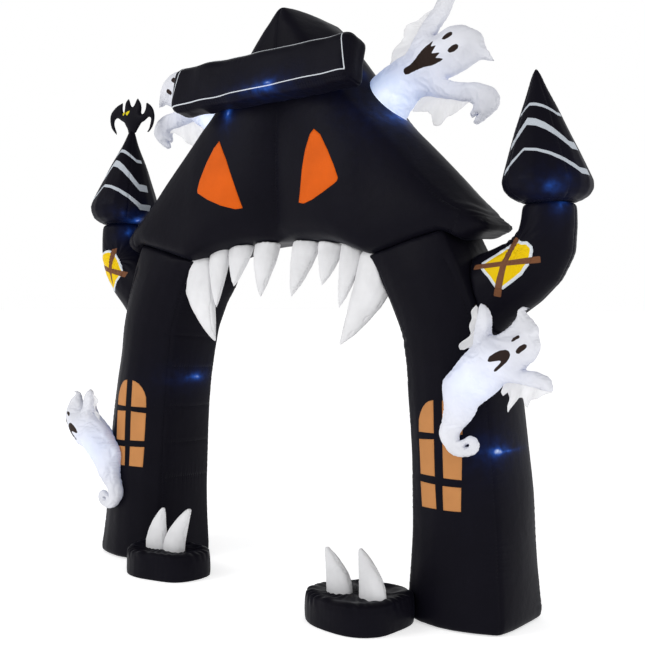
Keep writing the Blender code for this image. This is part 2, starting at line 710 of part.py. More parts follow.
BLACK_CLOTH = cloth("Black polyester", BLACK, 0.45)
PANE_CLOTH = cloth("Tan polyester", TAN, 0.6)
EYE_CLOTH = cloth("Orange polyester", ORANGE, 0.6)
GHOST_CLOTH = cloth("White polyester", GHOST_WHITE, 0.6)
VEIL_CLOTH = cloth("White veil", GHOST_WHITE, 0.6)
TOOTH_CLOTH = cloth("Ivory polyester", TOOTH_WHITE, 0.6)
SIGN_CLOTH = cloth("Sign polyester", BLACK, 0.45)
DIAMOND_CLOTH = cloth("Yellow polyester", YELLOW, 0.6)
BAT_CLOTH = cloth("Bat polyester", BLACK, 0.45)

roof = finish(make_roof(), BLACK_CLOTH)
legs = {
    -1: finish(make_leg("leg_left", -1), BLACK_CLOTH),
    1: finish(make_leg("leg_right", 1), BLACK_CLOTH),
}
arm_left = finish(make_arm("arm_left", -1, LEFT_NECK_SHIFT, legs[-1]), BLACK_CLOTH)
arm_right = finish(make_arm("arm_right", 1, (0.0, 0.0), legs[1]), BLACK_CLOTH)
cone_left = finish(make_point("cone_left", LEFT_POINT), BLACK_CLOTH)
finish(make_point("cone_right", RIGHT_POINT), BLACK_CLOTH)
finish(make_sign(roof), SIGN_CLOTH)
finish(make_bat(cone_left), BAT_CLOTH)
pods = {
    -1: finish(make_pod("pod_left", LEFT_POD_PLAN, legs[-1]), BLACK_CLOTH),
    1: finish(make_pod("pod_right", RIGHT_POD_PLAN, legs[1]), BLACK_CLOTH),
}
make_upper_teeth(roof, legs)
make_lower_teeth(pods)

for side, side_name in ((-1, "left"), (1, "right")):
    eye = [(side * x, z) for x, z in closed_curve(EYE_OUTLINE, 3)]
    make_panel(f"eye_{side_name}", eye, roof, EYE_CLOTH)
make_panel("panel_left", DIAMOND_LEFT, arm_left, DIAMOND_CLOTH)
make_panel("panel_right", DIAMOND_RIGHT, arm_right, DIAMOND_CLOTH)
behind_c = [legs[1], *make_panes(1, "right", legs[1])]
behind_d = [legs[-1], *make_panes(-1, "left", legs[-1])]

place_a = ghost_plane(LEFT_ROOF_GHOST_SITE, LEFT_ROOF_GHOST_TURN, -1)
ghost_a = make_ghost("ghost_a", place_a, ROOF_GHOST_BODY, [LEFT_ROOF_GHOST_REACHING], [roof])
make_veil("veil_a_reaching", place_a, LEFT_ROOF_REACHING_VEIL, [*ghost_a, roof])

place_b = ghost_plane(RIGHT_ROOF_GHOST_SITE, RIGHT_ROOF_GHOST_TURN, 1)
ghost_b = make_ghost("ghost_b", place_b, ROOF_GHOST_BODY, [ROOF_GHOST_REACHING, ROOF_GHOST_RAISED], [roof])
make_veil("veil_b_reaching", place_b, ROOF_REACHING_VEIL, [*ghost_b, roof])
make_veil("veil_b_raised", place_b, ROOF_RAISED_VEIL, [*ghost_b, roof])

place_c = ghost_plane(LEG_GHOST_SITE, LEG_GHOST_TURN, 1)
ghost_c = make_ghost("ghost_c", place_c, LEG_GHOST_BODY, [LEG_GHOST_RAISED, LEG_GHOST_REACHING], behind_c)
make_veil("veil_c_reaching", place_c, LEG_REACHING_VEIL, [*ghost_c, *behind_c])
make_veil("veil_c_raised", place_c, LEG_RAISED_VEIL, [*ghost_c, *behind_c])

left_leg_site = (-LEG_GHOST_SITE[0], LEG_GHOST_SITE[1], LEG_GHOST_SITE[2] - LEFT_LEG_GHOST_DROP)
place_d = ghost_plane(left_leg_site, LEG_GHOST_TURN, -1)
raised_d = shifted(LEG_GHOST_RAISED, LEFT_LEG_GHOST_REACH)
ghost_d = make_ghost("ghost_d", place_d, LEG_GHOST_BODY, [raised_d], behind_d)
veil_d = [shifted(edge, LEFT_LEG_GHOST_REACH) for edge in LEG_RAISED_VEIL]
make_veil("veil_d_raised", place_d, veil_d, [*ghost_d, *behind_d])

stand_on_origin()
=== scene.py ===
"""The looks of the inflatable arch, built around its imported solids. Metres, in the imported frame.

Measures are taken from the foot of the roof's centre seam; at() moves them into the frame.
"""
import json
import math

import bmesh
import bpy
import numpy as np
from mathutils import Matrix, Vector
from mathutils.bvhtree import BVHTree
from mathutils.geometry import delaunay_2d_cdt
from mathutils.kdtree import KDTree

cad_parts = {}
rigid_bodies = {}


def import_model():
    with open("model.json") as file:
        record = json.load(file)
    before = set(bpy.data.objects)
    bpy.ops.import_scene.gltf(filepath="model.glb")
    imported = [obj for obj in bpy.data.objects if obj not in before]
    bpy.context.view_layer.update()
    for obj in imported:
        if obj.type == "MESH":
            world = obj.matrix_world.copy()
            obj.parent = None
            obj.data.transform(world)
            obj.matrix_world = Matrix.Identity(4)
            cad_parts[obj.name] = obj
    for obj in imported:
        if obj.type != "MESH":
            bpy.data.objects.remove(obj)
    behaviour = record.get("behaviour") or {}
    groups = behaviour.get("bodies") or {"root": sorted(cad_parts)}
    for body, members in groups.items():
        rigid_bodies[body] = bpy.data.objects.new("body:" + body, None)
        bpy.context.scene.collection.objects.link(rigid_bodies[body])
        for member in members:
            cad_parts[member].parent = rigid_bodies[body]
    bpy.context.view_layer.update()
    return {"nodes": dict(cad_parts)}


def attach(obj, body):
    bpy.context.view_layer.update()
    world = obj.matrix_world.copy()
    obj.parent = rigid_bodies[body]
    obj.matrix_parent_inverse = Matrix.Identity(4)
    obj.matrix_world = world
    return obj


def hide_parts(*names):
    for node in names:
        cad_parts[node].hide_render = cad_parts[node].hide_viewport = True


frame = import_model()

# The studio --------------------------------------------------------------------------------------
# The arch stands alone on a pale floor under an even white light, seen from a standing eye height
# a little to the right of its front, as in the photograph.
CENTRE_SEAM = Vector((-0.0405, -0.05841, 0.0))


def at(x, y, z):
    return CENTRE_SEAM + Vector((x, y, z))


def srgb(code):
    """A hex colour as linear RGBA."""
    channels = [int(code[i:i + 2], 16) / 255 for i in (0, 2, 4)]
    return (*[c / 12.92 if c <= 0.04045 else ((c + 0.055) / 1.055) ** 2.4 for c in channels], 1.0)


def add(tree, kind, inputs=None, **settings):
    """Adds a node with its settings. inputs gives each socket a value, an output, or a node's first one."""
    made = tree.nodes.new("ShaderNode" + kind)
    for name, value in settings.items():
        setattr(made, name, value)
    for name, value in (inputs or {}).items():
        if isinstance(value, bpy.types.Node):
            value = next(output for output in value.outputs if output.enabled)
        if isinstance(value, bpy.types.NodeSocket):
            tree.links.new(value, made.inputs[name])
        else:
            made.inputs[name].default_value = value
    return made


def blank_material(name):
    material = bpy.data.materials.new(name)
    material.use_nodes = True
    material.node_tree.nodes.clear()
    return material, material.node_tree


def link_object(name, mesh):
    made = bpy.data.objects.new(name, mesh)
    bpy.context.scene.collection.objects.link(made)
    return made


view = bpy.data.cameras.new("photo_view")
view.lens = 59.39
view.sensor_width = 36.0
camera = link_object("photo_view", view)
camera.location = at(3.6819, -4.2303, 1.4882)
camera.rotation_euler = (math.pi / 2 - 0.016986, 0.0, 0.670802)
bpy.context.scene.camera = camera

floor_mesh = bpy.data.meshes.new("floor")
floor_mesh.from_pydata([(-200, -200, 0), (200, -200, 0), (200, 200, 0), (-200, 200, 0)], [], [(0, 1, 2, 3)])
floor = link_object("floor", floor_mesh)
floor.location.z = -0.002
# Matt white paint on a smooth floor: no gloss, only a faint unevenness.
paint, tree = blank_material("Matt white floor paint")
patches = add(tree, "TexNoise", {"Scale": 1.5, "Detail": 2.0})
tone = add(tree, "Mix", {"Factor": patches, "A": srgb("f4f4f5"), "B": srgb("f8f8f8")}, data_type="RGBA")
shader = add(tree, "BsdfPrincipled",
             {"Base Color": tone, "Roughness": 0.9, "Specular IOR Level": 0.1,
              "Emission Color": srgb("ffffff"), "Emission Strength": 0.55})
add(tree, "OutputMaterial", {"Surface": shader})
floor.data.materials.append(paint)

world = bpy.data.worlds.new("studio")
bpy.context.scene.world = world
world.use_nodes = True
# White all round, and darker overhead, so that the black cloth keeps its depth.
sky = world.node_tree
heading = add(sky, "TexCoord")
height = add(sky, "SeparateXYZ", {"Vector": heading.outputs["Generated"]})
level = add(sky, "MapRange", {"Value": height.outputs["Z"], "From Min": 0.28, "From Max": 0.75,
                              "To Min": 1.0, "To Max": 0.45})
sky.links.new(level.outputs["Result"], sky.nodes["Background"].inputs["Strength"])
sky.nodes["Background"].inputs["Color"].default_value = srgb("ffffff")
bpy.context.scene.view_settings.view_transform = "Standard"


def soft_box(name, place, target, size, power):
    lamp = bpy.data.lights.new(name, "AREA")
    lamp.shape = "SQUARE"
    lamp.size = size
    lamp.energy = power
    box = link_object(name, lamp)
    box.location = place
    box.rotation_euler = (Vector(target) - Vector(place)).to_track_quat("-Z", "Y").to_euler()


soft_box("key", (-3.5, -6.0, 5.0), (0, 0, 1.5), 3.0, 150)
soft_box("side", (6.0, -1.5, 3.5), (0.8, 0, 1.3), 2.5, 40)

# The roof ----------------------------------------------------------------------------------------
# One blown-up body of black coated polyester that bridges the legs: two front panels sewn on a
# centre seam, a rolled lower edge, sloping tops and shirred tips. Air holds every seam in a valley.
EDGE_BACK = [(0, 0.570, 3.070), (0.140, 0.550, 2.908), (0.400, 0.490, 2.592), (0.700, 0.452, 2.296),
             (1.030, 0.422, 1.988), (1.222, 0.345, 1.858)]
HIP_SEAM = [(0.889, -0.03, 2.125), (1.023, -0.02, 2.021), (1.142, 0.03, 1.936), (1.060, 0.02, 1.850)]


def swollen(name, node, voxel, softening, firm=()):
    """An even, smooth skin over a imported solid. It keeps its points within 120 mm of the firm places."""
    mesh = frame["nodes"][node].data.copy()
    bm = bmesh.new()
    bm.from_mesh(mesh)
    bmesh.ops.remove_doubles(bm, verts=bm.verts, dist=0.00002)
    bm.to_mesh(mesh)
    bm.free()
    mesh.materials.clear()
    piece = link_object(name, mesh)
    skin = piece.modifiers.new("Skin", "REMESH")
    skin.mode = "VOXEL"
    skin.voxel_size = voxel
    apply_modifiers(piece)
    co = points_of(piece)
    give = np.full(len(co), 0.5)
    for place in firm:
        give *= np.clip(far_from(co, place) / 0.12, 0.15, 1.0)
    ends = np.empty(len(piece.data.edges) * 2, np.int32)
    piece.data.edges.foreach_get("vertices", ends)
    count = np.bincount(ends, minlength=len(co))[:, None]
    for _ in range(softening):
        total = np.column_stack([neighbour_sum(ends.reshape(-1, 2), co[:, k]) for k in range(3)])
        co += (total / count - co) * give[:, None]
    set_points(piece, co)
    piece.data.shade_smooth()
    return piece


def neighbour_sum(ends, values):
    """For each point, the sum of the values at the other ends of its edges."""
    one, other = ends.T
    return np.bincount(one, values[other], len(values)) + np.bincount(other, values[one], len(values))


def apply_modifiers(piece):
    bpy.context.view_layer.update()
    graph = bpy.context.evaluated_depsgraph_get()
    mesh = bpy.data.meshes.new_from_object(piece.evaluated_get(graph), depsgraph=graph)
    piece.modifiers.clear()
    piece.data = mesh


def points_of(piece, origin=(0, 0, 0)):
    """A piece's points, measured from the origin given."""
    co = np.empty(len(piece.data.vertices) * 3, np.float32)
    piece.data.vertices.foreach_get("co", co)
    return co.reshape(-1, 3).astype(float) - np.array(origin)


def set_points(piece, co):
    piece.data.vertices.foreach_set("co", co.astype(np.float32).ravel())
    piece.data.update()


def push(piece, offset):
    """Moves each vertex along its normal."""
    normals = np.empty(len(piece.data.vertices) * 3, np.float32)
    piece.data.vertex_normals.foreach_get("vector", normals)
    set_points(piece, points_of(piece) + normals.reshape(-1, 3) * offset[:, None])


def bell(far, width):
    return np.exp(-(far / width) ** 2)


def ramp(rise, over):
    """0 to 1 over a distance."""
    return np.clip(rise / over, 0, 1)


def far_from(co, place):
    return np.linalg.norm(co - np.array(place), axis=1)


def store(piece, name, values):
    """Keeps a number for each vertex, for the material to read."""
    attribute = piece.data.attributes.new(name, "FLOAT", "POINT")
    attribute.data.foreach_set("value", values.astype(np.float32))


def drift(co, size, seed):
    """A smooth random field between about -1 and 1, whose bumps are of the given size."""
    rng = np.random.default_rng(seed)
    total = np.zeros(len(co))
    waves = 9
    for _ in range(waves):
        direction = rng.normal(size=3)
        direction /= np.linalg.norm(direction)
        pace = math.pi / size * rng.uniform(0.6, 1.4)
        total += np.sin(co @ direction * pace + rng.uniform(0, 2 * math.pi))
    return total / math.sqrt(waves)


def laid_on(piece, line, spacing=0.005):
    """A polyline cut into short steps and laid on the piece's skin."""
    tree = BVHTree.FromObject(piece, bpy.context.evaluated_depsgraph_get())
    laid = []
    for start, end in zip(line, line[1:]):
        count = max(1, round((end - start).length / spacing))
        for step in range(count):
            laid.append(tree.find_nearest(start.lerp(end, step / count))[0])
    laid.append(tree.find_nearest(line[-1])[0])
    return laid


def stitch(piece, lines, dip, width, pucker, pitch, seed=1):
    """Draws seams into a skin: a valley along each line, and puckers that run out from it."""
    bpy.context.view_layer.update()
    samples, runs = [], []
    for number, line in enumerate(lines):
        run = 7.3 * number
        laid = laid_on(piece, line)
        for i, point in enumerate(laid):
            run += (point - laid[i - 1]).length if i else 0.0
            samples.append(point)
            runs.append(run)
    nearest = KDTree(len(samples))
    for i, point in enumerate(samples):
        nearest.insert(point, i)
    nearest.balance()
    co = points_of(piece)
    found = [nearest.find(Vector(point)) for point in co]
    far = np.array([f[2] for f in found])
    run = np.array(runs)[[f[1] for f in found]]
    flat_run = np.column_stack([run, 0 * run, 0 * run])
    uneven = drift(flat_run, 3.5 * pitch, seed)
    waves = 0.6 * np.sin(2 * math.pi * run / pitch + 2.2 * uneven)
    waves += 0.4 * np.sin(2 * math.pi * run / (0.57 * pitch) + 3.0 * uneven)
    gathered = np.clip(0.45 + 0.8 * drift(flat_run, 5 * pitch, seed + 5), 0.05, 1.0)
    reach = 0.8 * pitch
    fall = far / reach * np.exp(1 - far / reach)
    push(piece, -dip * bell(far, width) + pucker * waves * fall * gathered)
    store(piece, "seam_run", run)
    store(piece, "seam_near", np.exp(-far / (0.6 * pitch)) * gathered)
    store(piece, "seam_far", far)


FLOOR_GAP = 0.0004
DEEP_BLUE = ("0b2468", "2b6be0", "d8e8ff")
INK_EDGE = 0.0007
# How fast a lamp's light falls off, and how much slower and fainter its wide shine is.
LAMP_FALL, HALO_FALL, HALO_SHARE = -1.6, 0.22, 0.09


def polyester(name, colour, roughness, gloss, glows=(), prints=(), sheen=0.0, glow_tints=DEEP_BLUE,
              patchy=0.45, ink_hides_lamp=False):
    """Plain-woven polyester with a thin coating.

    glows are lamps behind the cloth: place, reach in x, y, z and strength.
    prints are colours laid on where a stored distance is above zero: its name, the colour, the colour
    of its darker streaks, which run along what is stored as grain, and for a line its half width.
    patchy is how unevenly the lamps' light comes through.
    """
    material, tree = blank_material(name)
    place = add(tree, "NewGeometry").outputs["Position"]
    blotches = add(tree, "TexNoise", {"Vector": place, "Scale": 7.0, "Detail": 3.0})
    shade = add(tree, "MapRange", {"Value": blotches, "To Min": 0.82, "To Max": 1.18})
    tone = add(tree, "Mix", {"Factor": 1.0, "A": srgb(colour), "B": shade}, data_type="RGBA",
               blend_type="MULTIPLY")
    for stored, ink, dark, *half in prints:
        distance = add(tree, "Attribute", attribute_name=stored).outputs["Fac"]
        if half:
            apart = add(tree, "Math", {0: distance}, operation="ABSOLUTE")
            distance = add(tree, "Math", {0: half[0], 1: apart}, operation="SUBTRACT")
        covered = add(tree, "MapRange", {"Value": distance, "From Min": -INK_EDGE, "From Max": INK_EDGE})
        grain = add(tree, "Attribute", attribute_name="grain")
        streaks = add(tree, "TexNoise", {"Vector": grain.outputs["Vector"], "Scale": 160.0, "Detail": 3.0})
        dye = add(tree, "Mix", {"Factor": streaks, "A": srgb(ink), "B": srgb(dark)}, data_type="RGBA")
        tone = add(tree, "Mix", {"Factor": covered, "A": tone, "B": dye}, data_type="RGBA")
    # The real threads are 0.25 mm apart. They are drawn 9 mm apart, the finest that the render shows:
    # a wave texture's bands are 0.314 m divided by its scale apart.
    yarn = {"Vector": place, "Scale": 35.0, "Distortion": 1.5}
    warp = add(tree, "TexWave", yarn, bands_direction="Z")
    weft = add(tree, "TexWave", yarn, bands_direction="X")
    threads = add(tree, "Math", {0: warp.outputs["Fac"], 1: weft.outputs["Fac"]}, operation="ADD")
    cloth = add(tree, "Bump", {"Height": threads, "Strength": 0.12, "Distance": 0.0006})
    crumple = add(tree, "TexNoise", {"Vector": place, "Scale": 22.0, "Detail": 4.0})
    soft = add(tree, "Bump", {"Height": crumple, "Strength": 0.30, "Distance": 0.006, "Normal": cloth})
    run = add(tree, "Attribute", attribute_name="seam_run")
    near = add(tree, "Attribute", attribute_name="seam_near")
    turn = add(tree, "Math", {0: crumple, 1: 6.0}, operation="MULTIPLY")
    phase = add(tree, "Math", {0: run.outputs["Fac"], 1: 380.0, 2: turn}, operation="MULTIPLY_ADD")
    ripple = add(tree, "Math", {0: phase}, operation="SINE")
    gathers = add(tree, "Math", {0: ripple, 1: near.outputs["Fac"]}, operation="MULTIPLY")
    puckers = add(tree, "Bump", {"Height": gathers, "Strength": 0.45, "Distance": 0.0022, "Normal": soft})
    far = add(tree, "Attribute", attribute_name="seam_far")
    flank = add(tree, "MapRange", {"Value": far.outputs["Fac"], "From Max": 0.009},
                interpolation_type="SMOOTHSTEP")
    valley = add(tree, "Bump", {"Height": flank, "Strength": 0.5, "Distance": 0.004, "Normal": puckers})
    inputs = {"Base Color": tone, "Normal": valley, "Roughness": roughness,
              "Specular IOR Level": gloss, "Sheen Weight": sheen, "Sheen Roughness": 0.35}
    if glows:
        total = 0.0
        for (x, y, z), reach, strength in glows:
            apart = add(tree, "VectorMath", {0: place, 1: at(x, y, z)}, operation="SUBTRACT")
            scaled = add(tree, "VectorMath", {0: apart, 1: reach}, operation="DIVIDE")
            far = add(tree, "VectorMath", {0: scaled}, operation="LENGTH").outputs["Value"]
            fall = add(tree, "Math", {0: far, 1: LAMP_FALL}, operation="MULTIPLY")
            core = add(tree, "Math", {0: fall}, operation="EXPONENT")
            total = add(tree, "Math", {0: core, 1: strength, 2: total}, operation="MULTIPLY_ADD")
            # The cloth around a lamp keeps a wide, faint shine.
            fade = add(tree, "Math", {0: fall, 1: HALO_FALL}, operation="MULTIPLY")
            halo = add(tree, "Math", {0: fade}, operation="EXPONENT")
            total = add(tree, "Math", {0: halo, 1: strength * HALO_SHARE, 2: total},
                        operation="MULTIPLY_ADD")
        uneven = add(tree, "MapRange", {"Value": crumple, "From Min": 0.3, "From Max": 0.7,
                                        "To Min": 1 - patchy, "To Max": 1 + patchy})
        level = add(tree, "Math", {0: total, 1: uneven}, operation="MULTIPLY")
        if ink_hides_lamp:
            bare = add(tree, "Math", {0: 1.0, 1: covered}, operation="SUBTRACT")
            level = add(tree, "Math", {0: level, 1: bare}, operation="MULTIPLY")
        blue = add(tree, "ValToRGB", {"Fac": level})
        blue.color_ramp.elements[0].color = srgb(glow_tints[0])
        blue.color_ramp.elements[1].color = srgb(glow_tints[2])
        blue.color_ramp.elements.new(0.45).color = srgb(glow_tints[1])
        inputs["Emission Color"] = blue
        inputs["Emission Strength"] = level
    shader = add(tree, "BsdfPrincipled", inputs)
    shader.inputs["Sheen Tint"].default_value = srgb("9aa6d0")
    add(tree, "OutputMaterial", {"Surface": shader})
    return material


def black_cloth(piece, glows=(), prints=()):
    """Coated taffeta: nearly black, a satin skin that lights up blue where a lamp is behind it."""
    return polyester(f"Black coated polyester, {piece}", "0f0e15", 0.42, 0.035, glows=glows, prints=prints,
                     sheen=0.02)


def put_in_place(piece, node, material):
    """Gives a finished piece its material and hides the solid that it stands for."""
    piece.data.materials.clear()
    piece.data.materials.append(material)
    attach(piece, "root")
    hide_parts(node)


def dress(piece, node, material):
    """Puts an air-filled piece in place, flat where it stands on the floor."""
    co = points_of(piece)
    co[:, 2] = np.maximum(co[:, 2], FLOOR_GAP)
    set_points(piece, co)
    put_in_place(piece, node, material)


def both_sides(line):
    return [[at(side * x, y, z) for x, y, z in line] for side in (-1, 1)]


HIP_TIPS = [at(-1.21, 0.20, 1.88), at(1.21, 0.20, 1.88)]
roof = swollen("roof_cloth", "roof", voxel=0.011, softening=22, firm=HIP_TIPS)
push(roof, 0.004 * drift(points_of(roof), 0.30, 11))
centre = [at(0, 0.02, 1.90), at(0, 0.02, 3.065)]
stitch(roof, both_sides(EDGE_BACK) + both_sides(HIP_SEAM) + [centre],
       dip=0.006, width=0.014, pucker=0.0012, pitch=0.040)
# The hips' tips are gathered into folds that run in towards the point, behind which air fills a belly.
HIP_POINT, HIP_BELLY, HIP_FOLDS = (1.20, 0.20, 1.885), (1.10, 0.12, 1.87), 26
FOLD_HEIGHT, BELLY_HEIGHT, HANG = 0.0022, 0.020, 0.028
co = points_of(roof, CENTRE_SEAM)
for side in (-1, 1):
    apart = co - np.array(HIP_POINT) * (side, 1, 1)
    far = np.linalg.norm(apart, axis=1)
    turn = np.arctan2(apart[:, 2], np.abs(apart[:, 0]) + 0.02)
    folds = np.sin(HIP_FOLDS * turn + 2.0 * drift(co, 0.15, 14)) * bell(far - 0.11, 0.09)
    push(roof, FOLD_HEIGHT * folds)
    push(roof, BELLY_HEIGHT * bell(far_from(co, np.array(HIP_BELLY) * (side, 1, 1)), 0.09))
# Below, each hip hangs down in a full fold just before its tip.
co = points_of(roof, CENTRE_SEAM)
co[:, 2] -= HANG * bell(np.abs(co[:, 0]) - HIP_BELLY[0], 0.055) * ramp(1.92 - co[:, 2], 0.05)
set_points(roof, co + np.array(CENTRE_SEAM))
ROOF_LAMPS = [
    # place, reach, strength of each glow
    ((-0.304, -0.03, 2.515), (0.030, 0.06, 0.05), 0.6), ((0.655, 0.22, 2.43), (0.09, 0.14, 0.06), 0.5),
    ((0.432, 0.18, 2.66), (0.020, 0.05, 0.09), 0.30)]
dress(roof, "roof", black_cloth("roof", ROOF_LAMPS))

# The legs ----------------------------------------------------------------------------------------
# Two square tower tubes of the same black cloth, flat where they stand and leaning in above the
# windows. Four corner seams run up each; the left one has cross seams on its inner side.
SIDES = ((-1, "left"), (1, "right"))
LEG_CORNERS = [
    # height, inner front x, inner back x, outer x, front y
    (0.012, 0.850, 0.832, 1.366, -0.033), (0.120, 0.856, 0.841, 1.361, -0.022),
    (0.430, 0.865, 0.850, 1.333, 0.002), (0.750, 0.854, 0.845, 1.302, 0.009),
    (1.050, 0.830, 0.815, 1.264, 0.014), (1.350, 0.793, 0.752, 1.207, 0.017),
    (1.500, 0.729, 0.682, 1.150, 0.012), (1.620, 0.672, 0.598, 1.095, 0.006),
    (1.700, 0.620, 0.560, 1.050, 0.003)]
LEG_BACK, LEG_TOP = 0.38, 1.70
CROSS_SEAMS = (0.482, 0.686, 0.897, 1.131, 1.322)
LEG_LAMPS = {
    -1: [((-0.80, 0.225, 1.064), (0.05, 0.045, 0.020), 0.55),
         ((-0.80, 0.17, 1.06), (0.08, 0.14, 0.035), 0.16)],
    1: [((1.308, 0.050, 0.822), (0.030, 0.034, 0.020), 0.85),
        ((1.31, 0.12, 0.815), (0.05, 0.12, 0.009), 0.35),
        ((1.30, 0.02, 0.82), (0.16, 0.13, 0.09), 0.09)]}
for side, name in SIDES:
    under_eave = [at(side * x, y, LEG_TOP) for x in (0.62, 1.05) for y in (0.0, 0.1, 0.2, 0.3, LEG_BACK)]
    leg = swollen(f"leg_{name}_cloth", f"leg_{name}", voxel=0.0095, softening=22, firm=under_eave)
    push(leg, 0.0025 * drift(points_of(leg), 0.22, 21 + side))
    seams = [[at(side * row[k], y if y else row[4], row[0]) for row in LEG_CORNERS]
             for k, y in ((1, 0), (3, 0), (3, LEG_BACK), (2, LEG_BACK))]
    seams += [[at(side * 0.84, 0.03, z), at(side * 0.84, 0.37, z - 0.01)] for z in CROSS_SEAMS]
    stitch(leg, seams, dip=0.005, width=0.011, pucker=0.0013, pitch=0.034, seed=30 + side)
    dress(leg, f"leg_{name}", black_cloth(f"{name} leg", LEG_LAMPS[side]))

# The turrets' arms ---------------------------------------------------------------------------------
# A bent tube of black polyester leaves each leg under the eave and turns up into a round neck. A
# seam runs along the outside and the inside of the bend, and the cloth creases across the elbow.
ARM_PATH = [
    # x, z, radius of the right arm
    (1.200, 1.556, 0.190), (1.275, 1.594, 0.174), (1.352, 1.634, 0.163), (1.424, 1.692, 0.153),
    (1.473, 1.768, 0.143), (1.488, 1.856, 0.130), (1.488, 1.935, 0.124)]
LEFT_NECK = (-0.078, 0.038)
ARM_DEPTH = 0.19
ARM_ROOT, ARM_RUN = 1.12, 0.368


def metres(table):
    """Outlines that are given in millimetres, in metres."""
    if isinstance(table, dict):
        return {key: metres(value) for key, value in table.items()}
    if isinstance(table, (list, tuple)):
        return [metres(value) for value in table]
    return table / 1000


def distance_in(points, outline):
    """How far flat points lie inside a closed outline; negative outside."""
    best = np.full(len(points), np.inf)
    inside = np.zeros(len(points), bool)
    corners = np.array(outline, float)
    for (x0, y0), (x1, y1) in zip(corners, np.roll(corners, -1, axis=0)):
        edge = np.array([x1 - x0, y1 - y0])
        apart = points - (x0, y0)
        share = np.clip(apart @ edge / (edge @ edge), 0, 1)
        best = np.minimum(best, np.hypot(*(apart - share[:, None] * edge).T))
        crosses = (y0 > points[:, 1]) != (y1 > points[:, 1])
        with np.errstate(divide="ignore", invalid="ignore"):
            meets = x0 + (points[:, 1] - y0) / (y1 - y0) * (x1 - x0)
        inside ^= crosses & (points[:, 0] < meets)
    return np.where(inside, best, -best)


def arm_side(side, bend):
    """The line along the outside (bend 1) or the inside (bend -1) of an arm."""
    line = []
    for i, (x, z, radius) in enumerate(ARM_PATH):
        share = (x - ARM_ROOT) / ARM_RUN
        dx, dz = (LEFT_NECK[0] * share, LEFT_NECK[1] * share) if side < 0 else (0.0, 0.0)
        before, after = ARM_PATH[max(i - 1, 0)], ARM_PATH[min(i + 1, len(ARM_PATH) - 1)]
        run = Vector((after[0] - before[0], after[1] - before[1])).normalized()
        line.append(at(side * (x + dx + bend * run.y * radius), ARM_DEPTH, z + dz - bend * run.x * radius))
    return line


def ring(centre, axis, radius, count=40):
    """A circle of points round an axis."""
    axis = Vector(axis).normalized()
    side = axis.orthogonal().normalized()
    other = axis.cross(side)
    turn = [2 * math.pi * k / count for k in range(count + 1)]
    return [Vector(centre) + (side * math.cos(a) + other * math.sin(a)) * radius for a in turn]


ELBOWS = {-1: (-1.325, 1.76), 1: (1.372, 1.74)}
CREASES, CREASE_HEIGHT = 18, 0.0035
# Two crossed boards are printed over each arm's diamond, in x and z.
BOARDS = metres({
    -1: [[(-1520, 1748), (-1384, 1713), (-1215, 1682), (-1231, 1650), (-1367, 1680), (-1520, 1712)],
         [(-1366, 1824), (-1330, 1832), (-1342, 1767), (-1356, 1714), (-1350, 1596), (-1386, 1689),
          (-1386, 1714), (-1383, 1753)]],
    1: [[(1163, 1648), (1349, 1663), (1501, 1673), (1501, 1703), (1347, 1686), (1166, 1671)],
        [(1277, 1527), (1310, 1520), (1346, 1661), (1359, 1700), (1395, 1780), (1365, 1797), (1323, 1691),
         (1312, 1661)]]})
BOARD_BROWN = ("board", "80563c", "553420")
NECK_LAMPS = {-1: ((-1.298, 0.132, 1.925), (0.04, 0.06, 0.04), 0.32),
              1: ((1.581, 0.110, 1.930), (0.030, 0.045, 0.035), 0.45)}


def print_boards(piece, side, front):
    """Stores where the two boards lie, and the run of their grain."""
    co = points_of(piece, CENTRE_SEAM)
    level, steep = (distance_in(co[:, [0, 2]], board) for board in BOARDS[side])
    store(piece, "board", np.where(front, np.maximum(level, steep), -1.0))
    on_steep = steep > level
    across, along = np.where(on_steep, co[:, [0, 2]].T, co[:, [2, 0]].T)
    grain = np.column_stack([across * 2.5, along * 0.15, on_steep * 1.0])
    attribute = piece.data.attributes.new("grain", "FLOAT_VECTOR", "POINT")
    attribute.data.foreach_set("vector", grain.astype(np.float32).ravel())


for side, name in SIDES:
    arm = swollen(f"arm_{name}_cloth", f"arm_{name}", voxel=0.008, softening=26)
    x, z = ELBOWS[side]
    co = points_of(arm, at(x, ARM_DEPTH, z))
    angle = np.arctan2(co[:, 2], side * co[:, 0])
    inside = bell(np.hypot(co[:, 0], co[:, 2]) - 0.03, 0.10)
    creases = np.sin(CREASES * angle + 2 * drift(co, 0.12, 41))
    push(arm, CREASE_HEIGHT * inside * creases + 0.002 * drift(co, 0.14, 42 + side))
    stitch(arm, [arm_side(side, 1), arm_side(side, -1)], dip=0.0012, width=0.008, pucker=0.001, pitch=0.030,
           seed=44 + side)
    print_boards(arm, side, points_of(arm)[:, 1] < ARM_DEPTH)
    cloth = black_cloth(f"{name} arm", [NECK_LAMPS[side]], [BOARD_BROWN])
    dress(arm, f"arm_{name}", cloth)

# The turrets' points -------------------------------------------------------------------------------
# A round-bottomed cone of black polyester is sewn to the top of each neck. Three light grey zigzag
# bands are printed round it; a lamp in the neck shines through the bottom of the cone.
CONE_AXIS = {
    # height, middle x, radius
    -1: [(1.983, -1.410, 0.121), (2.058, -1.398, 0.201), (2.200, -1.377, 0.168), (2.558, -1.321, 0.007)],
    1: [(1.945, 1.488, 0.121), (2.044, 1.473, 0.207), (2.160, 1.460, 0.166), (2.553, 1.416, 0.006)]}
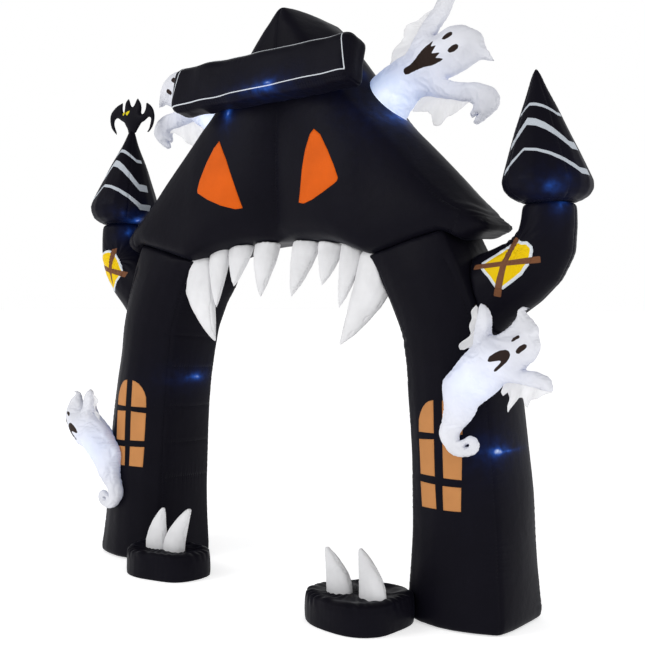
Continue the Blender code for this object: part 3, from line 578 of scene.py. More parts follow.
# Front and back panel alike: degrees from the first valley, and how far up its peak a band is there.
ZIGZAG = [(0, 0.00), (38, 1.00), (60, 0.93), (80, 0.75), (100, 0.46), (122, 0.00), (143, -0.03)]
BANDS = {
    # height of the valleys and of the peaks, half width at a valley and at a peak
    -1: [(2.078, 2.212, 0.017, 0.008), (2.197, 2.352, 0.021, 0.019), (2.362, 2.430, 0.010, 0.009)],
    1: [(2.078, 2.178, 0.014, 0.006), (2.196, 2.308, 0.018, 0.017), (2.342, 2.390, 0.008, 0.007)]}
FIRST_VALLEY = -135
BASE_RADIUS, TIP_RISE = 0.130, 0.011
CONE_LAMPS = {
    -1: [((-1.255, 0.167, 2.000), (0.035, 0.05, 0.025), 0.7),
         ((-1.263, 0.055, 2.040), (0.05, 0.06, 0.03), 0.12)],
    1: [((1.575, 0.028, 2.005), (0.060, 0.06, 0.040), 0.34),
        ((1.625, 0.07, 2.05), (0.03, 0.04, 0.03), 0.10)]}
for side, name in SIDES:
    cone = swollen(f"cone_{name}_cloth", f"cone_{name}", voxel=0.006, softening=6)
    push(cone, 0.0015 * drift(points_of(cone), 0.10, 51 + side))
    heights, middles, _ = zip(*CONE_AXIS[side])
    # The seams meet in a sharp tip.
    co = points_of(cone)
    co[:, 2] += TIP_RISE * ramp(co[:, 2] - heights[-1] + 0.10, 0.09) ** 2
    set_points(cone, co)
    low = Vector(at(middles[0], ARM_DEPTH, heights[0] + 0.006))
    seams = [ring(low, (0, 0, 1), BASE_RADIUS)]
    for around in (55, 145, 235, 325):
        out = Vector((math.cos(math.radians(around)), math.sin(math.radians(around)), 0))
        seams.append([at(m, ARM_DEPTH, h) + out * r for h, m, r in CONE_AXIS[side]])
    stitch(cone, seams, dip=0.002, width=0.008, pucker=0.0008, pitch=0.024, seed=54 + side)
    co = points_of(cone, CENTRE_SEAM)
    around = np.degrees(np.arctan2(co[:, 1] - ARM_DEPTH, co[:, 0] - np.interp(co[:, 2], heights, middles)))
    phase = (around - FIRST_VALLEY) % 180
    climb = np.interp(phase, *zip(*ZIGZAG))
    nearest = np.full(len(co), -1.0)
    for valley, peak, half_valley, half_peak in BANDS[side]:
        half = half_valley + (half_peak - half_valley) * climb
        nearest = np.maximum(nearest, half - np.abs(co[:, 2] - valley - (peak - valley) * climb))
    store(cone, "band", np.minimum(nearest, (ZIGZAG[-1][0] - phase) * 0.002))
    cloth = black_cloth(f"{name} cone", CONE_LAMPS[side], [("band", "b9bfc6", "aab1ba")])
    dress(cone, f"cone_{name}", cloth)

# The bat -------------------------------------------------------------------------------------------
# A flat, lightly filled bat of two black cloth faces sewn round their edge, standing on the left
# cone's tip. Two slanted yellow eyes are printed on its face.
BAT_MIDDLE = (-1.325, 0.19, 2.654)
BAT = metres([(-81, 84), (-130, 70), (-172, 45), (-195, 20), (-200, -7), (-197, -35), (-185, -65),
    (-160, -92), (-141, -108), (-140, -97), (-153, -68), (-162, -39), (-157, -17), (-140, -7),
    (-126, -7), (-97, -24), (-63, -44), (-47, -68), (-33, -86), (-29, -110), (35, -110), (47, -94),
    (63, -77), (80, -59), (116, -47), (140, -33), (156, -28), (172, -37), (172, -50), (165, -74),
    (153, -100), (138, -116), (146, -119), (172, -104), (189, -85), (199, -61), (204, -32), (199, -1),
    (185, 26), (160, 48), (132, 58), (130, 41), (124, 17), (108, 0), (92, -3), (82, 6), (86, 33),
    (82, 60), (68, 81), (54, 95), (40, 79), (27, 58), (15, 50), (-1, 52), (-11, 63), (-17, 84),
    (-28, 101), (-44, 93), (-57, 74), (-61, 44), (-63, 28), (-76, 23), (-85, 41), (-83, 63)])
BAT_EYES = metres([
    [(-65, 28), (-47, 28), (-43, 14), (-57, -1), (-67, 6)],
    [(-36, 14), (-10, 23), (4, 24), (-1, 10), (-18, -4), (-28, 2)]])


def smooth_loop(corners, spacing):
    """A closed curve through an outline's corners in short even steps. A sharp corner stays sharp."""
    p = np.array(corners, float)
    ahead = np.roll(p, -1, 0) - p
    length = np.hypot(*ahead.T)
    ahead /= length[:, None]
    heading = ahead + np.roll(ahead, 1, 0)
    size = np.hypot(*heading.T)
    heading *= np.where(size > 1.2, 1 / np.maximum(size, 0.1), 0.0)[:, None]
    points = []
    for i in range(len(p)):
        j = (i + 1) % len(p)
        t = np.linspace(0, 1, max(1, round(length[i] / spacing)), endpoint=False)[:, None]
        points.append((2 * t ** 3 - 3 * t ** 2 + 1) * p[i] + (3 * t ** 2 - 2 * t ** 3) * p[j]
                      + length[i] * ((t ** 3 - 2 * t ** 2 + t) * heading[i] + (t ** 3 - t ** 2) * heading[j]))
    return np.vstack(points)


def flat_cut(name, outlines, spacing, depth, hole=None, rounds=1500):
    """Two faces of one flat cut, sewn round the rim and blown up; its points are along, up and out.

    Overlapping outlines make one cut. Air lifts a point to the root of a soap film's height there.
    """
    loops = [smooth_loop(outline, spacing) for outline in outlines]
    holes = [smooth_loop(hole, spacing / 2)] if hole else []
    points, seams = [], []
    for number, loop in enumerate(loops + holes):
        others = [distance_in(loop, other) for other in loops if other is not loop]
        buried = np.zeros(len(loop), bool)
        if others and number < len(loops):
            buried = np.max(others, axis=0) > 0.3 * spacing
        first = len(points)
        points += [Vector(point) for point in loop]
        for i in range(len(loop)):
            j = (i + 1) % len(loop)
            if not (buried[i] and buried[j]):
                seams.append((first + i, first + j))
    low, high = np.vstack(loops).min(0), np.vstack(loops).max(0)
    rows = enumerate(np.arange(low[1], high[1], 0.866 * spacing))
    grid = np.array([(x + 0.5 * spacing * (k % 2), z) for k, z in rows
                     for x in np.arange(low[0], high[0], spacing)])
    within = np.array([distance_in(grid, loop) for loop in loops + holes])
    clear = (within[:len(loops)].max(0) > 0) & (np.abs(within).min(0) > 0.6 * spacing)
    points += [Vector(point) for point in grid[clear]]
    flat, _, faces = delaunay_2d_cdt(points, seams, [], 0, 1e-6)[:3]
    flat, faces = np.array(flat), np.array(faces)
    middles = flat[faces].mean(1)
    kept = np.max([distance_in(middles, loop) for loop in loops], axis=0) > 0
    for gap in holes:
        kept &= distance_in(middles, gap) < 0
    faces = faces[kept]
    used = np.unique(faces)
    faces = np.searchsorted(used, faces)
    flat = flat[used]
    sides = np.sort(faces[:, [[0, 1], [1, 2], [2, 0]]].reshape(-1, 2))
    ends, shared = np.unique(sides, axis=0, return_counts=True)
    rim = np.zeros(len(flat), bool)
    rim[ends[shared == 1]] = True
    one, other = ends.T
    step = ((flat[one] - flat[other]) ** 2).sum(1)
    count = np.bincount(ends.ravel(), minlength=len(flat))
    rise = (np.bincount(one, step, len(flat)) + np.bincount(other, step, len(flat))) / 4
    film = np.zeros(len(flat))
    for _ in range(rounds):
        film = (neighbour_sum(ends, film) + rise) / count
        film[rim] = 0
    lift = depth * np.sqrt(2 * film)
    back = np.where(rim, np.arange(len(flat)), len(flat) + np.cumsum(~rim) - 1)
    corners = np.vstack([np.column_stack([flat, lift]), np.column_stack([flat, -lift])[~rim]])
    mesh = bpy.data.meshes.new(name)
    mesh.from_pydata(corners.tolist(), [], faces.tolist() + back[faces][:, ::-1].tolist())
    mesh.shade_smooth()
    piece = link_object(name, mesh)
    piece.vertex_groups.new(name="rim").add(np.flatnonzero(rim).tolist(), 1.0, "REPLACE")
    return piece


def blow_up(piece, pressure, spare, cap, frames=16):
    """Air fills a closed cloth that is cut a little too large for its rim; it moves by cap at most."""
    start = points_of(piece)
    air = piece.modifiers.new("Air", "CLOTH")
    air.settings.quality = 4
    air.settings.mass = 0.1
    air.settings.use_pressure = True
    air.settings.uniform_pressure_force = pressure
    air.settings.shrink_min = -spare
    air.settings.vertex_group_mass = "rim"
    air.settings.effector_weights.gravity = 0.0
    air.settings.tension_stiffness = air.settings.compression_stiffness = 30
    air.settings.bending_stiffness = 0.05
    air.collision_settings.use_collision = False
    air.point_cache.frame_end = frames
    for number in range(1, frames + 1):
        bpy.context.scene.frame_set(number)
    apply_modifiers(piece)
    bpy.context.scene.frame_set(1)
    moved = points_of(piece) - start
    moved *= np.minimum(1.0, cap / np.maximum(np.linalg.norm(moved, axis=1), 1e-9))[:, None]
    set_points(piece, start + moved)


def stand(piece, place, along, front):
    """Moves a flat cut's points from along, up and out to where the piece stands."""
    co = points_of(piece)
    world = co @ np.array([along, (0, 0, 1), front]) + np.array(place)
    set_points(piece, world)
    bm = bmesh.new()
    bm.from_mesh(piece.data)
    bmesh.ops.recalc_face_normals(bm, faces=bm.faces)
    bm.to_mesh(piece.data)
    bm.free()


bat = flat_cut("bat_cloth", [BAT], spacing=0.0035, depth=0.42)
co = points_of(bat)
eyes = np.maximum(*[distance_in(co[:, :2], eye) for eye in BAT_EYES])
store(bat, "eyes", np.where(co[:, 2] > 0, eyes, -1.0))
stand(bat, at(*BAT_MIDDLE), (1, 0, 0), (0, -1, 0))
dress(bat, "bat", black_cloth("bat", prints=[("eyes", "cfc21c", "bfae14")]))

# The sign ------------------------------------------------------------------------------------------
# A long pillow of black cloth, boxed with seams on all its edges, leaning back against the roof. A
# thin white border is printed on its face, whose middle is left bare; lamps below light its lower edge.
SIGN_MIDDLE, SIGN_SIZE = (-0.02, -0.062, 2.668), (1.25, 0.17, 0.262)
SIGN_TURN = Matrix.Rotation(-math.radians(1.1), 4, "Y") @ Matrix.Rotation(-math.radians(12.5), 4, "X")
BORDER = [(-0.550, 0.121), (0.560, 0.113), (0.597, -0.079), (-0.600, -0.104)]
BORDER_HALF = 0.0024
sign = swollen("sign_cloth", "sign", voxel=0.0085, softening=2)
into_sign = np.array((Matrix.Translation(at(*SIGN_MIDDLE)) @ SIGN_TURN).inverted())
co = points_of(sign) @ into_sign[:3, :3].T + into_sign[:3, 3]
face = ramp(-co[:, 1], 0.08)
swell = 0.004 * drift(co * (1, 1, 0.4), 0.11, 61)
sag = 0.006 * np.abs(drift(co, 0.16, 62))
push(sign, swell * face - sag * (1 - face))
half = np.array(SIGN_SIZE) / 2 - 0.008
seams = []
for a, b in (((-1, -1, -1), (1, -1, -1)), ((-1, -1, 1), (1, -1, 1)), ((-1, -1, -1), (-1, -1, 1)),
             ((1, -1, -1), (1, -1, 1)), ((1, -1, -1), (1, 1, -1)), ((-1, -1, -1), (-1, 1, -1)),
             ((1, -1, 1), (1, 1, 1)), ((-1, -1, 1), (-1, 1, 1))):
    seams.append([at(*SIGN_MIDDLE) + SIGN_TURN.to_3x3() @ Vector(half * np.array(end)) for end in (a, b)])
stitch(sign, seams, dip=0.003, width=0.009, pucker=0.0009, pitch=0.028, seed=63)
co = points_of(sign) @ into_sign[:3, :3].T + into_sign[:3, 3]
store(sign, "border", np.where(co[:, 1] < 0, distance_in(co[:, [0, 2]], BORDER), -1.0))
SIGN_LAMPS = [((0.090, -0.16, 2.616), (0.035, 0.06, 0.015), 0.9),
              ((0.04, -0.14, 2.590), (0.12, 0.08, 0.024), 0.45)]
sign_black = black_cloth("sign", SIGN_LAMPS, [("border", "cfd3d9", "c0c4ca", BORDER_HALF)])
dress(sign, "sign", sign_black)

# The upper teeth -----------------------------------------------------------------------------------
# Eight bowed cones of plain white polyester hang from the roof's rolled edge and the tops of the
# legs. Each is two cut pieces, sewn front to back, gathered a little where it is sewn on.
TEETH = {
    # base x y z, tip x y z, bow, half width; and how far it is drawn up under the roof's edge
    1: (((0.640, 0.075, 1.700), (0.431, 0.003, 1.284), 0.045, 0.112), 0.052),
    2: (((0.466, 0.088, 1.830), (0.425, 0.004, 1.465), 0.014, 0.070), 0.014),
    3: (((0.315, 0.110, 1.862), (0.307, 0.017, 1.582), 0.008, 0.082), 0.0),
    4: (((0.141, 0.125, 1.870), (0.106, 0.010, 1.522), 0.010, 0.086), 0.0)}
# Uncoated polyester taffeta: white, matt, and bright because daylight passes through both faces.
ivory = polyester("White polyester taffeta, teeth", "d8d8da", 0.62, 0.12)


def side_seams(base, tip, bow, half_width):
    """The two seams along a tooth's edges."""
    base, tip = Vector(base), Vector(tip)
    middle = (base + tip) / 2 + Vector((bow, 0, 0))
    lines = []
    for way in (-1, 1):
        line = []
        for share in (0.22, 0.4, 0.6, 0.8, 0.95):
            run = ((middle - base) * (1 - share) + (tip - middle) * share).normalized()
            across = Vector((run.z, 0, -run.x)) * way * half_width * (1 - share)
            bowed = base * (1 - share) ** 2 + middle * 2 * share * (1 - share) + tip * share ** 2
            line.append(bowed + across)
        lines.append([at(*point) for point in line])
    return lines


def sew_tooth(name, node, row, seed, drawn_up=0.0, softening=16, fuller=0.0, rooted=0.0):
    """Dresses a tooth: drawn up under a roof or rooted in a pod at its sewn end, and fuller with more air."""
    base, tip, bow, width = row
    tooth = swollen(name, node, voxel=0.0045, softening=softening, firm=[at(*base)])
    push(tooth, np.full(len(tooth.data.vertices), fuller))
    co = points_of(tooth)
    near_base = np.exp(-far_from(co, at(*base)) / 0.10)
    gathers = near_base * np.abs(drift(co * (1, 1, 0.3), 0.02, seed + 1))
    push(tooth, 0.0006 * drift(co, 0.05, seed) - 0.002 * gathers)
    co = points_of(tooth)
    co[:, 2] += drawn_up * ramp(co[:, 2] - base[2] + 0.13, 0.11) ** 2
    co[:, 2] -= rooted * ramp(base[2] + 0.085 - co[:, 2], 0.03)
    set_points(tooth, co)
    stitch(tooth, side_seams(base, tip, bow, width), dip=0.0018, width=0.004, pucker=0.0012, pitch=0.016,
           seed=seed)
    dress(tooth, node, ivory)


for number in range(1, 9):
    (base, tip, bow, width), drawn_up = TEETH[min(number, 9 - number)]
    side = -1 if number < 5 else 1
    row = ((side * base[0], *base[1:]), (side * tip[0], *tip[1:]), side * bow, width)
    sew_tooth(f"tooth_{number}_cloth", f"tooth_{number}", row, 70 + number, drawn_up)

# The pods and lower teeth --------------------------------------------------------------------------
# A low black bolster stands in front of each leg's inner corner. Its top is gathered towards two
# white teeth that are sewn upright into it, so folds run out from them over the rim.
POD_HEARTS = {-1: (-0.66, -0.17, 0), 1: (0.71, -0.25, 0)}
POD_FOLDS, POD_FOLD_HEIGHT = 23, 0.0042
FANGS = [
    # base x y z, tip x y z, bow, half width
    ((-0.712, -0.185, 0.100), (-0.650, -0.185, 0.360), -0.030, 0.064),
    ((-0.598, -0.175, 0.100), (-0.455, -0.175, 0.375), -0.040, 0.062),
    ((0.660, -0.280, 0.100), (0.572, -0.280, 0.335), 0.034, 0.062),
    ((0.848, -0.280, 0.100), (0.770, -0.280, 0.355), 0.034, 0.062)]


def square_up(pod):
    """Air stands the sides up straight and lifts the rim round a top that the teeth hold down."""
    co = points_of(pod)
    middle = (co[:, :2].max(0) + co[:, :2].min(0)) / 2
    apart = co[:, :2] - middle
    far = np.hypot(*apart.T)
    turn = np.degrees(np.arctan2(apart[:, 1], apart[:, 0])) % 360
    reach = np.zeros(90)
    np.maximum.at(reach, (turn // 4).astype(int), far)
    reach = np.interp(turn, np.arange(90) * 4 + 2, reach, period=360)
    inward = np.clip(1 - far / reach, 0, 1)
    squared = inward * np.clip(inward / 0.5, 0.25, 1.0)
    co[:, :2] = middle + apart * ((1 - squared) / (1 - inward + 1e-6))[:, None]
    on_top = ramp(co[:, 2] - 0.11, 0.03)
    dent = ramp(squared - 0.10, 0.30)
    co[:, 2] -= on_top * (0.002 + 0.014 * dent ** 2 * (3 - 2 * dent))
    set_points(pod, co)


for side, name in SIDES:
    pod = swollen(f"pod_{name}_cloth", f"pod_{name}", voxel=0.006, softening=5)
    square_up(pod)
    co = points_of(pod, at(*POD_HEARTS[side]))
    turn = np.arctan2(co[:, 1] * 1.5, co[:, 0])
    up = ramp(co[:, 2] - 0.085, 0.05)
    folds = np.sin(POD_FOLDS * turn + 3.0 * drift(co, 0.12, 81)) * (0.6 + 0.4 * drift(co, 0.07, 82))
    push(pod, POD_FOLD_HEIGHT * up * folds + 0.002 * drift(co, 0.16, 83 + side) * ramp(co[:, 2], 0.05))
    dress(pod, f"pod_{name}", black_cloth(f"{name} pod"))
for number, row in enumerate(FANGS, start=1):
    sew_tooth(f"fang_{number}_cloth", f"fang_{number}", row, 90 + number, softening=7, fuller=0.010,
              rooted=0.035)

# The windows, eyes and diamonds --------------------------------------------------------------------
# Shapes cut from thin polyester are stitched flat onto the black cloth: tan window panes, the roof's
# orange eyes, and a yellow diamond with a white edge on each arm, crossed by two printed boards.
PANES = metres({
    # x and z of the right window's corners, seen from the front
    "inner_low": [(963, 544), (1057, 546), (1050, 659), (953, 661)],
    "outer_low": [(1095, 545), (1180, 546), (1180, 655), (1091, 657)],
    "inner_middle": [(953, 696), (1048, 696), (1040, 866), (942, 858)],
    "outer_middle": [(1095, 693), (1181, 690), (1179, 862), (1086, 866)],
    "inner_top": [(940, 892), (1039, 894), (1033, 1046), (1010, 1041), (988, 1029), (967, 1008), (952, 982),
                  (941, 950)],
    "outer_top": [(1086, 894), (1178, 896), (1177, 950), (1167, 982), (1151, 1010), (1130, 1031),
                  (1108, 1043), (1080, 1048)]})
EYES = metres({
    -1: [(-350, 2373), (-292, 2268), (-235, 2136), (-180, 2001), (-225, 1997), (-312, 2019), (-409, 2057),
         (-489, 2098), (-493, 2115), (-479, 2167), (-434, 2264), (-388, 2338)],
    1: [(307, 2373), (352, 2341), (410, 2257), (456, 2176), (485, 2111), (480, 2096), (464, 2084),
        (393, 2047), (314, 2014), (247, 1999), (209, 2008), (220, 2061), (236, 2174), (256, 2272),
        (283, 2348)]})
DIAMONDS = metres({
    -1: [(-1497, 1790), (-1433, 1815), (-1388, 1820), (-1366, 1815), (-1332, 1795), (-1299, 1756),
         (-1252, 1690), (-1266, 1657), (-1293, 1634), (-1318, 1605), (-1357, 1565), (-1420, 1620),
         (-1460, 1665), (-1490, 1720)],
    1: [(1202, 1664), (1203, 1680), (1298, 1734), (1351, 1762), (1395, 1780), (1415, 1770), (1443, 1770),
        (1470, 1747), (1472, 1721), (1466, 1699), (1450, 1663), (1417, 1620), (1369, 1585),
        (1326, 1556), (1290, 1560), (1255, 1608), (1207, 1650)]})


IN_FRONT = -1.5


def evenly(outline, spacing):
    """Points along a closed outline, its corners among them."""
    points = []
    for start, end in zip(outline, outline[1:] + outline[:1]):
        start, end = Vector(start), Vector(end)
        count = max(1, math.ceil((end - start).length / spacing))
        points += [start.lerp(end, step / count) for step in range(count)]
    return points


def object_from(bm, name):
    mesh = bpy.data.meshes.new(name)
    bm.to_mesh(mesh)
    bm.free()
    return link_object(name, mesh)


def inset_from(piece, outline):
    """How far each point lies inside an outline in x and z."""
    return distance_in(points_of(piece, CENTRE_SEAM)[:, [0, 2]], outline)


def cut_cloth(name, outline, carrier, thickness=0.0016, spacing=0.007, gap=0.0004):
    """A thin cloth of an outline in x and z, laid on its carrier from IN_FRONT and stitched at its edge."""
    tree = BVHTree.FromObject(carrier, bpy.context.evaluated_depsgraph_get())
    edge = evenly(outline, spacing)
    middle = sum(edge, Vector((0, 0))) / len(edge)
    rings = max(4, round(max((point - middle).length for point in edge) / spacing))
    flat = [middle + (point - middle) * (1 - ring / rings) for ring in range(rings) for point in edge]
    flat.append(middle)
    bm = bmesh.new()
    layers = [[], []]
    for number, (x, z) in enumerate(flat):
        hit, normal = tree.ray_cast(at(x, IN_FRONT, z), Vector((0, 1, 0)))[:2]
        if hit is None:
            hit, normal = tree.find_nearest(at(x, 0.10, z))[:2]
        # The stitches press the very edge down.
        thick = thickness * (0.5 if number < len(edge) else 1.0)
        for layer, lift in zip(layers, (gap, gap + thick)):
            layer.append(bm.verts.new(hit + normal * lift))
    around = len(edge)
    for layer, turned in zip(layers, (True, False)):
        for ring in range(rings - 1):
            for i in range(around):
                j = (i + 1) % around
                outer, inner = ring * around, (ring + 1) * around
                corners = [layer[outer + i], layer[outer + j], layer[inner + j], layer[inner + i]]
                bm.faces.new(corners[::-1] if turned else corners)
        last = (rings - 1) * around
        for i in range(around):
            corners = [layer[last + i], layer[last + (i + 1) % around], layer[-1]]
            bm.faces.new(corners[::-1] if turned else corners)
    for i in range(around):
        j = (i + 1) % around
        bm.faces.new((layers[0][i], layers[0][j], layers[1][j], layers[1][i]))
    bmesh.ops.recalc_face_normals(bm, faces=bm.faces)
    piece = object_from(bm, name)
    piece.data.shade_smooth()
    store(piece, "seam_run", np.arange(len(piece.data.vertices)) % around * spacing)
    store(piece, "seam_near", np.exp(-np.abs(inset_from(piece, outline) - 0.004) / 0.003))
    return piece


def lay_down(piece, node, material):
    """Puts a sewn-on cloth in place."""
    put_in_place(piece, node, material)
    co = points_of(piece)


tan = polyester("Tan polyester, window panes", "b97f4c", 0.55, 0.08)
orange = polyester("Orange polyester, eyes", "cb5609", 0.52, 0.08)
for side, name in SIDES:
    leg = bpy.data.objects[f"leg_{name}_cloth"]
    for place, corners in PANES.items():
        pane = cut_cloth(f"pane_{name}_{place}_cloth", [(side * x, z) for x, z in corners], leg)
        lay_down(pane, f"pane_{name}_{place}", tan)
    eye = cut_cloth(f"eye_{name}_cloth", EYES[side], roof, spacing=0.010)
    lay_down(eye, f"eye_{name}", orange)
    arm = bpy.data.objects[f"arm_{name}_cloth"]
    diamond = cut_cloth(f"diamond_{name}_cloth", DIAMONDS[side], arm, spacing=0.005)
    store(diamond, "yellow", inset_from(diamond, DIAMONDS[side]) - 0.014)
    print_boards(diamond, side, True)
    edged = polyester(f"Printed white polyester, {name} diamond", "cdd3d9", 0.50, 0.08,
                      prints=[("yellow", "e3c000", "d2ae00"), BOARD_BROWN])
    lay_down(diamond, f"panel_{name}", edged)

# The ghosts ----------------------------------------------------------------------------------------
# White blown-up ghosts lean out from the roof and the legs, each of two flat-cut faces sewn round
# the edge. A lamp in each base fades out towards head and arms. Eyes and mouth are printed dark brown.
GHOSTS = {
    # place, turn in degrees, side
    "a": ((-0.650, 0.298, 2.546), -1, -1), "b": ((0.559, 0.262, 2.534), 16.5, 1),
    "c": ((1.275, -0.100, 1.145), 2, 1), "d": ((-1.275, -0.100, 0.630), 2, -1)}
LEG_BODY = metres([(-157, -6), (-103, 61), (-61, 113), (-14, 156), (32, 185), (74, 209), (96, 206),
    (139, 226), (176, 256), (201, 293), (208, 317), (227, 330), (262, 327), (236, 316), (259, 293),
    (285, 261), (299, 233), (296, 204), (308, 172), (297, 140), (272, 98), (247, 77), (230, 60),
    (212, 30), (179, 5), (149, -1), (99, -44), (53, -80), (15, -112), (-5, -151), (-33, -186),
    (-62, -214), (-80, -240), (-82, -270), (-61, -261), (-39, -246), (-7, -246), (12, -263), (18, -288),
    (10, -314), (-16, -333), (-48, -343), (-87, -344), (-124, -330), (-151, -302), (-175, -265),
    (-181, -231), (-172, -196), (-158, -161), (-152, -126), (-155, -66), (-158, -23)])
CURL_HOLE = metres([(-54, -293), (-42, -286), (-30, -284), (-38, -292)])
LEG_RAISED = metres([(1, 100), (-7, 182), (-4, 237), (5, 296), (14, 338), (26, 350), (43, 344),
    (56, 334), (71, 313), (79, 279), (74, 238), (70, 209), (68, 120)])
LEG_REACHING = metres([(171, 75), (234, 60), (260, 55), (290, 54), (325, 46), (353, 32), (369, -7),
    (366, -27), (325, -24), (281, -13), (237, -3), (201, 2), (163, 10)])
ROOF_BODY = metres([(-92, 105), (-54, 138), (-2, 174), (58, 206), (104, 226), (171, 268), (243, 305),
    (276, 323), (308, 340), (341, 346), (382, 342), (430, 320), (465, 297), (480, 272), (497, 227),
    (517, 194), (537, 153), (504, 157), (472, 164), (438, 149), (398, 125), (349, 101), (299, 81),
    (249, 50), (191, 5), (157, -9), (106, -70), (92, -89), (59, -140), (0, -160), (-58, -130),
    (-101, -50), (-111, 40)])
ROOF_RAISED = metres([(91, 170), (113, 254), (147, 319), (184, 376), (218, 429), (239, 467), (263, 515),
    (281, 550), (300, 566), (325, 563), (344, 540), (349, 505), (340, 472), (323, 434), (299, 389),
    (270, 352), (241, 305), (219, 230), (160, 160)])
ROOF_REACHING = metres([(161, 95), (240, 98), (300, 81), (333, 65), (391, 56), (448, 56), (496, 42),
    (535, 19), (556, -6), (566, -38), (560, -73), (528, -106), (489, -135), (452, -152), (437, -143),
    (441, -128), (457, -105), (440, -112), (429, -119), (421, -95), (437, -64), (424, -44), (366, -30),
    (301, -17), (243, -7), (192, 5), (141, 10)])


def shifted(outline, along, up=0):
    return [(a + along, b + up) for a, b in outline]


GHOST_CUTS = {
    "a": [ROOF_BODY, shifted(ROOF_REACHING, 0, 0.045)], "b": [ROOF_BODY, ROOF_RAISED, ROOF_REACHING],
    "c": [LEG_BODY, LEG_RAISED, LEG_REACHING], "d": [LEG_BODY, shifted(LEG_RAISED, 0.070)]}
ROOF_FACE = metres([
    [(296, 255), (304, 270), (319, 284), (335, 291), (346, 286), (346, 272), (332, 261), (310, 251)],
    [(326, 194), (332, 207), (349, 221), (367, 227), (378, 220), (375, 205), (359, 192), (337, 186)],
    [(105, 109), (105, 123), (126, 141), (159, 166), (187, 196), (218, 225), (259, 255), (244, 223),
     (272, 228), (249, 190), (293, 191), (269, 166), (308, 160), (290, 146), (251, 132), (204, 127),
     (168, 116), (132, 97), (113, 96)]])
LEG_FACE = metres([
    [(200, 188), (206, 201), (218, 211), (232, 212), (241, 205), (236, 197), (222, 191), (208, 184)],
    [(225, 141), (229, 133), (238, 132), (253, 144), (267, 161), (267, 172), (257, 175), (240, 165),
     (229, 152)],
    [(107, 99), (115, 117), (139, 134), (164, 147), (182, 150), (198, 144), (205, 129), (200, 113),
     (188, 94), (168, 76), (145, 55), (134, 51), (132, 58), (147, 75), (161, 89), (168, 99), (161, 102),
     (140, 98), (120, 94), (110, 94)]])
PALE_BLUE = ("6a90f4", "9fc0fb", "eef5ff")
GATHER_PITCH, GATHER_HEIGHT = 0.022, 0.0011


def ghost_axes(ghost):
    """Where a ghost stands, and the directions that run along it and out of its face."""
    place, turn, side = GHOSTS[ghost]
    turn = math.radians(turn)
    return (at(*place), Vector((side * math.cos(turn), math.sin(turn), 0)),
            Vector((side * math.sin(turn), -math.cos(turn), 0)))


def clear_of(piece, carriers, gap=0.0015):
    """Lays what would be inside a carrier flat on its skin."""
    co = points_of(piece)
    for carrier in carriers:
        tree = BVHTree.FromObject(carrier, bpy.context.evaluated_depsgraph_get())
        for i, point in enumerate(co):
            near, normal = tree.find_nearest(point)[:2]
            if (Vector(point) - near).dot(normal) < gap:
                co[i] = near + normal * gap
    set_points(piece, co)


for ghost, (place, _, side) in GHOSTS.items():
    on_roof = ghost in "ab"
    body = flat_cut(f"ghost_{ghost}_cloth", GHOST_CUTS[ghost], spacing=0.0058, depth=0.80,
                    hole=None if on_roof else CURL_HOLE)
    along, up, out = points_of(body).T
    face = ROOF_FACE if on_roof else LEG_FACE
    ink = np.maximum.reduce([distance_in(np.column_stack([along, up]), outline) for outline in face])
    store(body, "face", np.where(out > 0, ink, -1.0))
    stand(body, *ghost_axes(ghost))
    blow_up(body, pressure=3.0, spare=0.05, cap=0.012)
    # The rim seam gathers the cloth a little, and air leaves the faces softly uneven.
    run = np.arctan2(up - 0.05, along - 0.12) * 0.30
    co = points_of(body)
    waves = np.sin(2 * math.pi * run / GATHER_PITCH + 2.5 * drift(co, 0.09, 101))
    gather = GATHER_HEIGHT * waves * np.exp(-np.abs(out) / 0.016)
    push(body, gather + 0.0022 * drift(co, 0.10, 102 + ord(ghost)))
    store(body, "seam_run", run)
    store(body, "seam_near", np.exp(-np.abs(out) / 0.012))
    carriers = [roof, sign] if on_roof else [bpy.data.objects[f"leg_{dict(SIDES)[side]}_cloth"]]
    clear_of(body, carriers)
    lamps = [(Vector(place) + Vector((0, -0.05, 0)), (0.25, 0.3, 0.20), 0.85 if on_roof else 0.42)]
    white = polyester(f"White polyester taffeta, ghost {ghost}", "d4d4d6", 0.60, 0.12, glows=lamps,
                      prints=[("face", "2f201b", "1d1512")], glow_tints=PALE_BLUE, patchy=0.08,
                      ink_hides_lamp=True)
    dress(body, f"ghost_{ghost}", white)

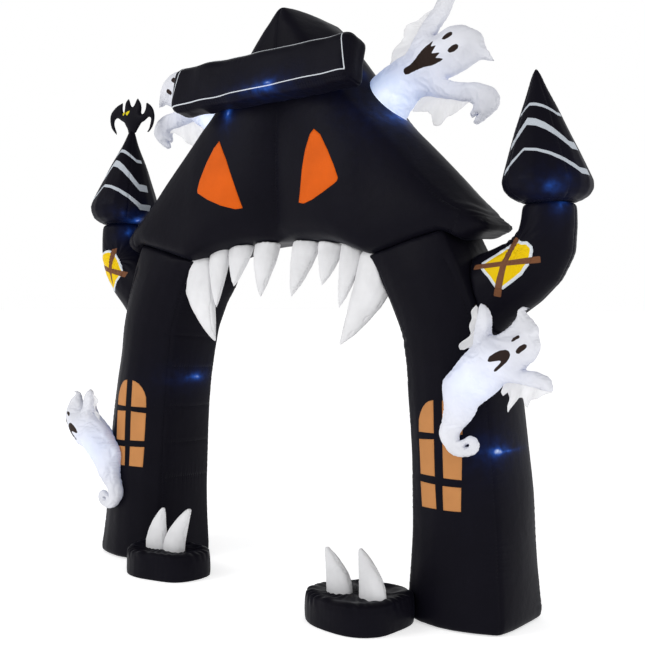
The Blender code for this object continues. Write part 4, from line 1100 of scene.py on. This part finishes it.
# The ghosts' veils ---------------------------------------------------------------------------------
# A single, see-through cloth hangs from each arm, gathered where it is sewn and cut ragged below.
REACHING_SEAM = [(165, 5), (240, 3), (320, -10), (425, -30)]
RAGGED_EDGE = [(2, 340), (-23, 308), (-29, 270), (-25, 215), (-45, 194), (-88, 155), (-86, 138),
    (-59, 141), (-35, 150), (-20, 150)]
VEILS = metres({
    # sewn edge and free edge, both as along and up
    "b_raised": (
        [(222, 425), (190, 370), (150, 300), (120, 235), (108, 215)],
        [(225, 437), (175, 409), (95, 373), (74, 347), (72, 322), (48, 284), (9, 235), (-3, 183), (31, 188),
         (70, 205)]),
    "b_reaching": (
        REACHING_SEAM,
        [(150, -20), (121, -67), (155, -69), (201, -72), (222, -94), (226, -142), (243, -149), (268, -141),
         (309, -107), (367, -71), (415, -43), (436, -45)]),
    "a_reaching": (
        shifted(REACHING_SEAM, 0, 45),
        [(150, -10), (120, -66), (194, -60), (228, -134), (270, -100), (333, -60), (395, -20), (440, -15)]),
    "c_raised": ([(10, 330), (6, 250), (2, 200), (4, 150)], RAGGED_EDGE),
    "c_reaching": (
        [(140, 10), (200, 14), (280, 0), (355, -10)],
        [(135, -20), (129, -40), (140, -57), (158, -40), (160, -70), (154, -100), (164, -128), (178, -105),
         (203, -64), (224, -59), (242, -87), (255, -106), (262, -70), (294, -63), (325, -46), (368, -31)]),
    "d_raised": ([(85, 325), (80, 250), (76, 200), (78, 150)], shifted(RAGGED_EDGE, 70))})


def spread(line, count):
    """Points at even shares of a polyline's length."""
    points = np.array(line)
    lengths = np.concatenate([[0], np.cumsum(np.hypot(*np.diff(points, axis=0).T))])
    shares = np.linspace(0, lengths[-1], count)
    return np.column_stack([np.interp(shares, lengths, points[:, k]) for k in (0, 1)])


def sew_veil(name, ghost, sewn, free, columns=80, rows=16, sunk=0.003):
    """A gathered cloth between its sewn and its free edge; what the arm hides is cut off."""
    place, along, front = ghost_axes(ghost)
    top, hem = spread(sewn, columns), spread(free, columns)
    tatter = drift(np.column_stack([hem, 0 * hem[:, :1]]), 0.012, 121)
    hem += (hem - top) * (0.015 * tatter)[:, None]
    body = bpy.data.objects[f"ghost_{ghost}_cloth"]
    tree = BVHTree.FromObject(body, bpy.context.evaluated_depsgraph_get())
    bm = bmesh.new()
    grid, hidden = [], {}
    for row in range(rows + 1):
        share = row / rows
        line = []
        for i in range(columns):
            u = i / columns
            across, up = top[i] + (hem[i] - top[i]) * share
            depth = share * (0.012 * math.sin(7 * math.pi * u) + 0.0012 * math.sin(38 * u + 2.5 * share))
            depth += 0.0006 * math.sin(125 * u) * (1 - share)
            vert = bm.verts.new(place + along * across + Vector((0, 0, up)) + front * depth)
            near, normal = tree.find_nearest(vert.co)[:2]
            hidden[vert] = (vert.co - near).dot(normal) < -sunk
            line.append(vert)
        grid.append(line)
    for low, high in zip(grid, grid[1:]):
        for i in range(columns - 1):
            corners = (low[i], low[i + 1], high[i + 1], high[i])
            if not all(hidden[vert] for vert in corners):
                bm.faces.new(corners)
    bmesh.ops.delete(bm, geom=[vert for vert in bm.verts if not vert.link_faces], context="VERTS")
    veil = object_from(bm, name)
    thick = veil.modifiers.new("Thickness", "SOLIDIFY")
    thick.thickness = 0.0016
    thick.offset = 0.0
    apply_modifiers(veil)
    veil.data.shade_smooth()
    return veil


def see_through(name):
    """Thin uncoated polyester: daylight scatters through it, and its folds show as faint grey. An even
    painted glow brightens it all over.
    """
    material, tree = blank_material(name)
    place = add(tree, "NewGeometry").outputs["Position"]
    cloud = add(tree, "TexNoise", {"Vector": place, "Scale": 18.0, "Detail": 4.0})
    tone = add(tree, "Mix", {"Factor": cloud, "A": srgb("d9d9da"), "B": srgb("e6e6e8")}, data_type="RGBA")
    weave = add(tree, "TexWave", {"Vector": place, "Scale": 60.0, "Distortion": 2.0}, bands_direction="Z")
    bump = add(tree, "Bump", {"Height": weave.outputs["Fac"], "Strength": 0.15, "Distance": 0.0005})
    matt = add(tree, "BsdfDiffuse", {"Color": tone, "Normal": bump})
    through = add(tree, "BsdfTranslucent", {"Color": tone, "Normal": bump})
    clear = add(tree, "BsdfTransparent")
    body = add(tree, "MixShader", {0: 0.5, 1: matt, 2: through})
    # Painted glow: an even emission stands in for the light that the folds pass on to each other.
    painted_glow = add(tree, "Emission", {"Color": tone, "Strength": 0.22})
    lit = add(tree, "AddShader", {0: body, 1: painted_glow})
    sheer = add(tree, "MixShader", {0: 0.24, 1: lit, 2: clear})
    add(tree, "OutputMaterial", {"Surface": sheer})
    return material


veil_cloth = see_through("Sheer white polyester, veils")
for label, (sewn, free) in VEILS.items():
    ghost = label[0]
    veil = sew_veil(f"veil_{label}_cloth", ghost, sewn, free)
    put_in_place(veil, f"veil_{label}", veil_cloth)
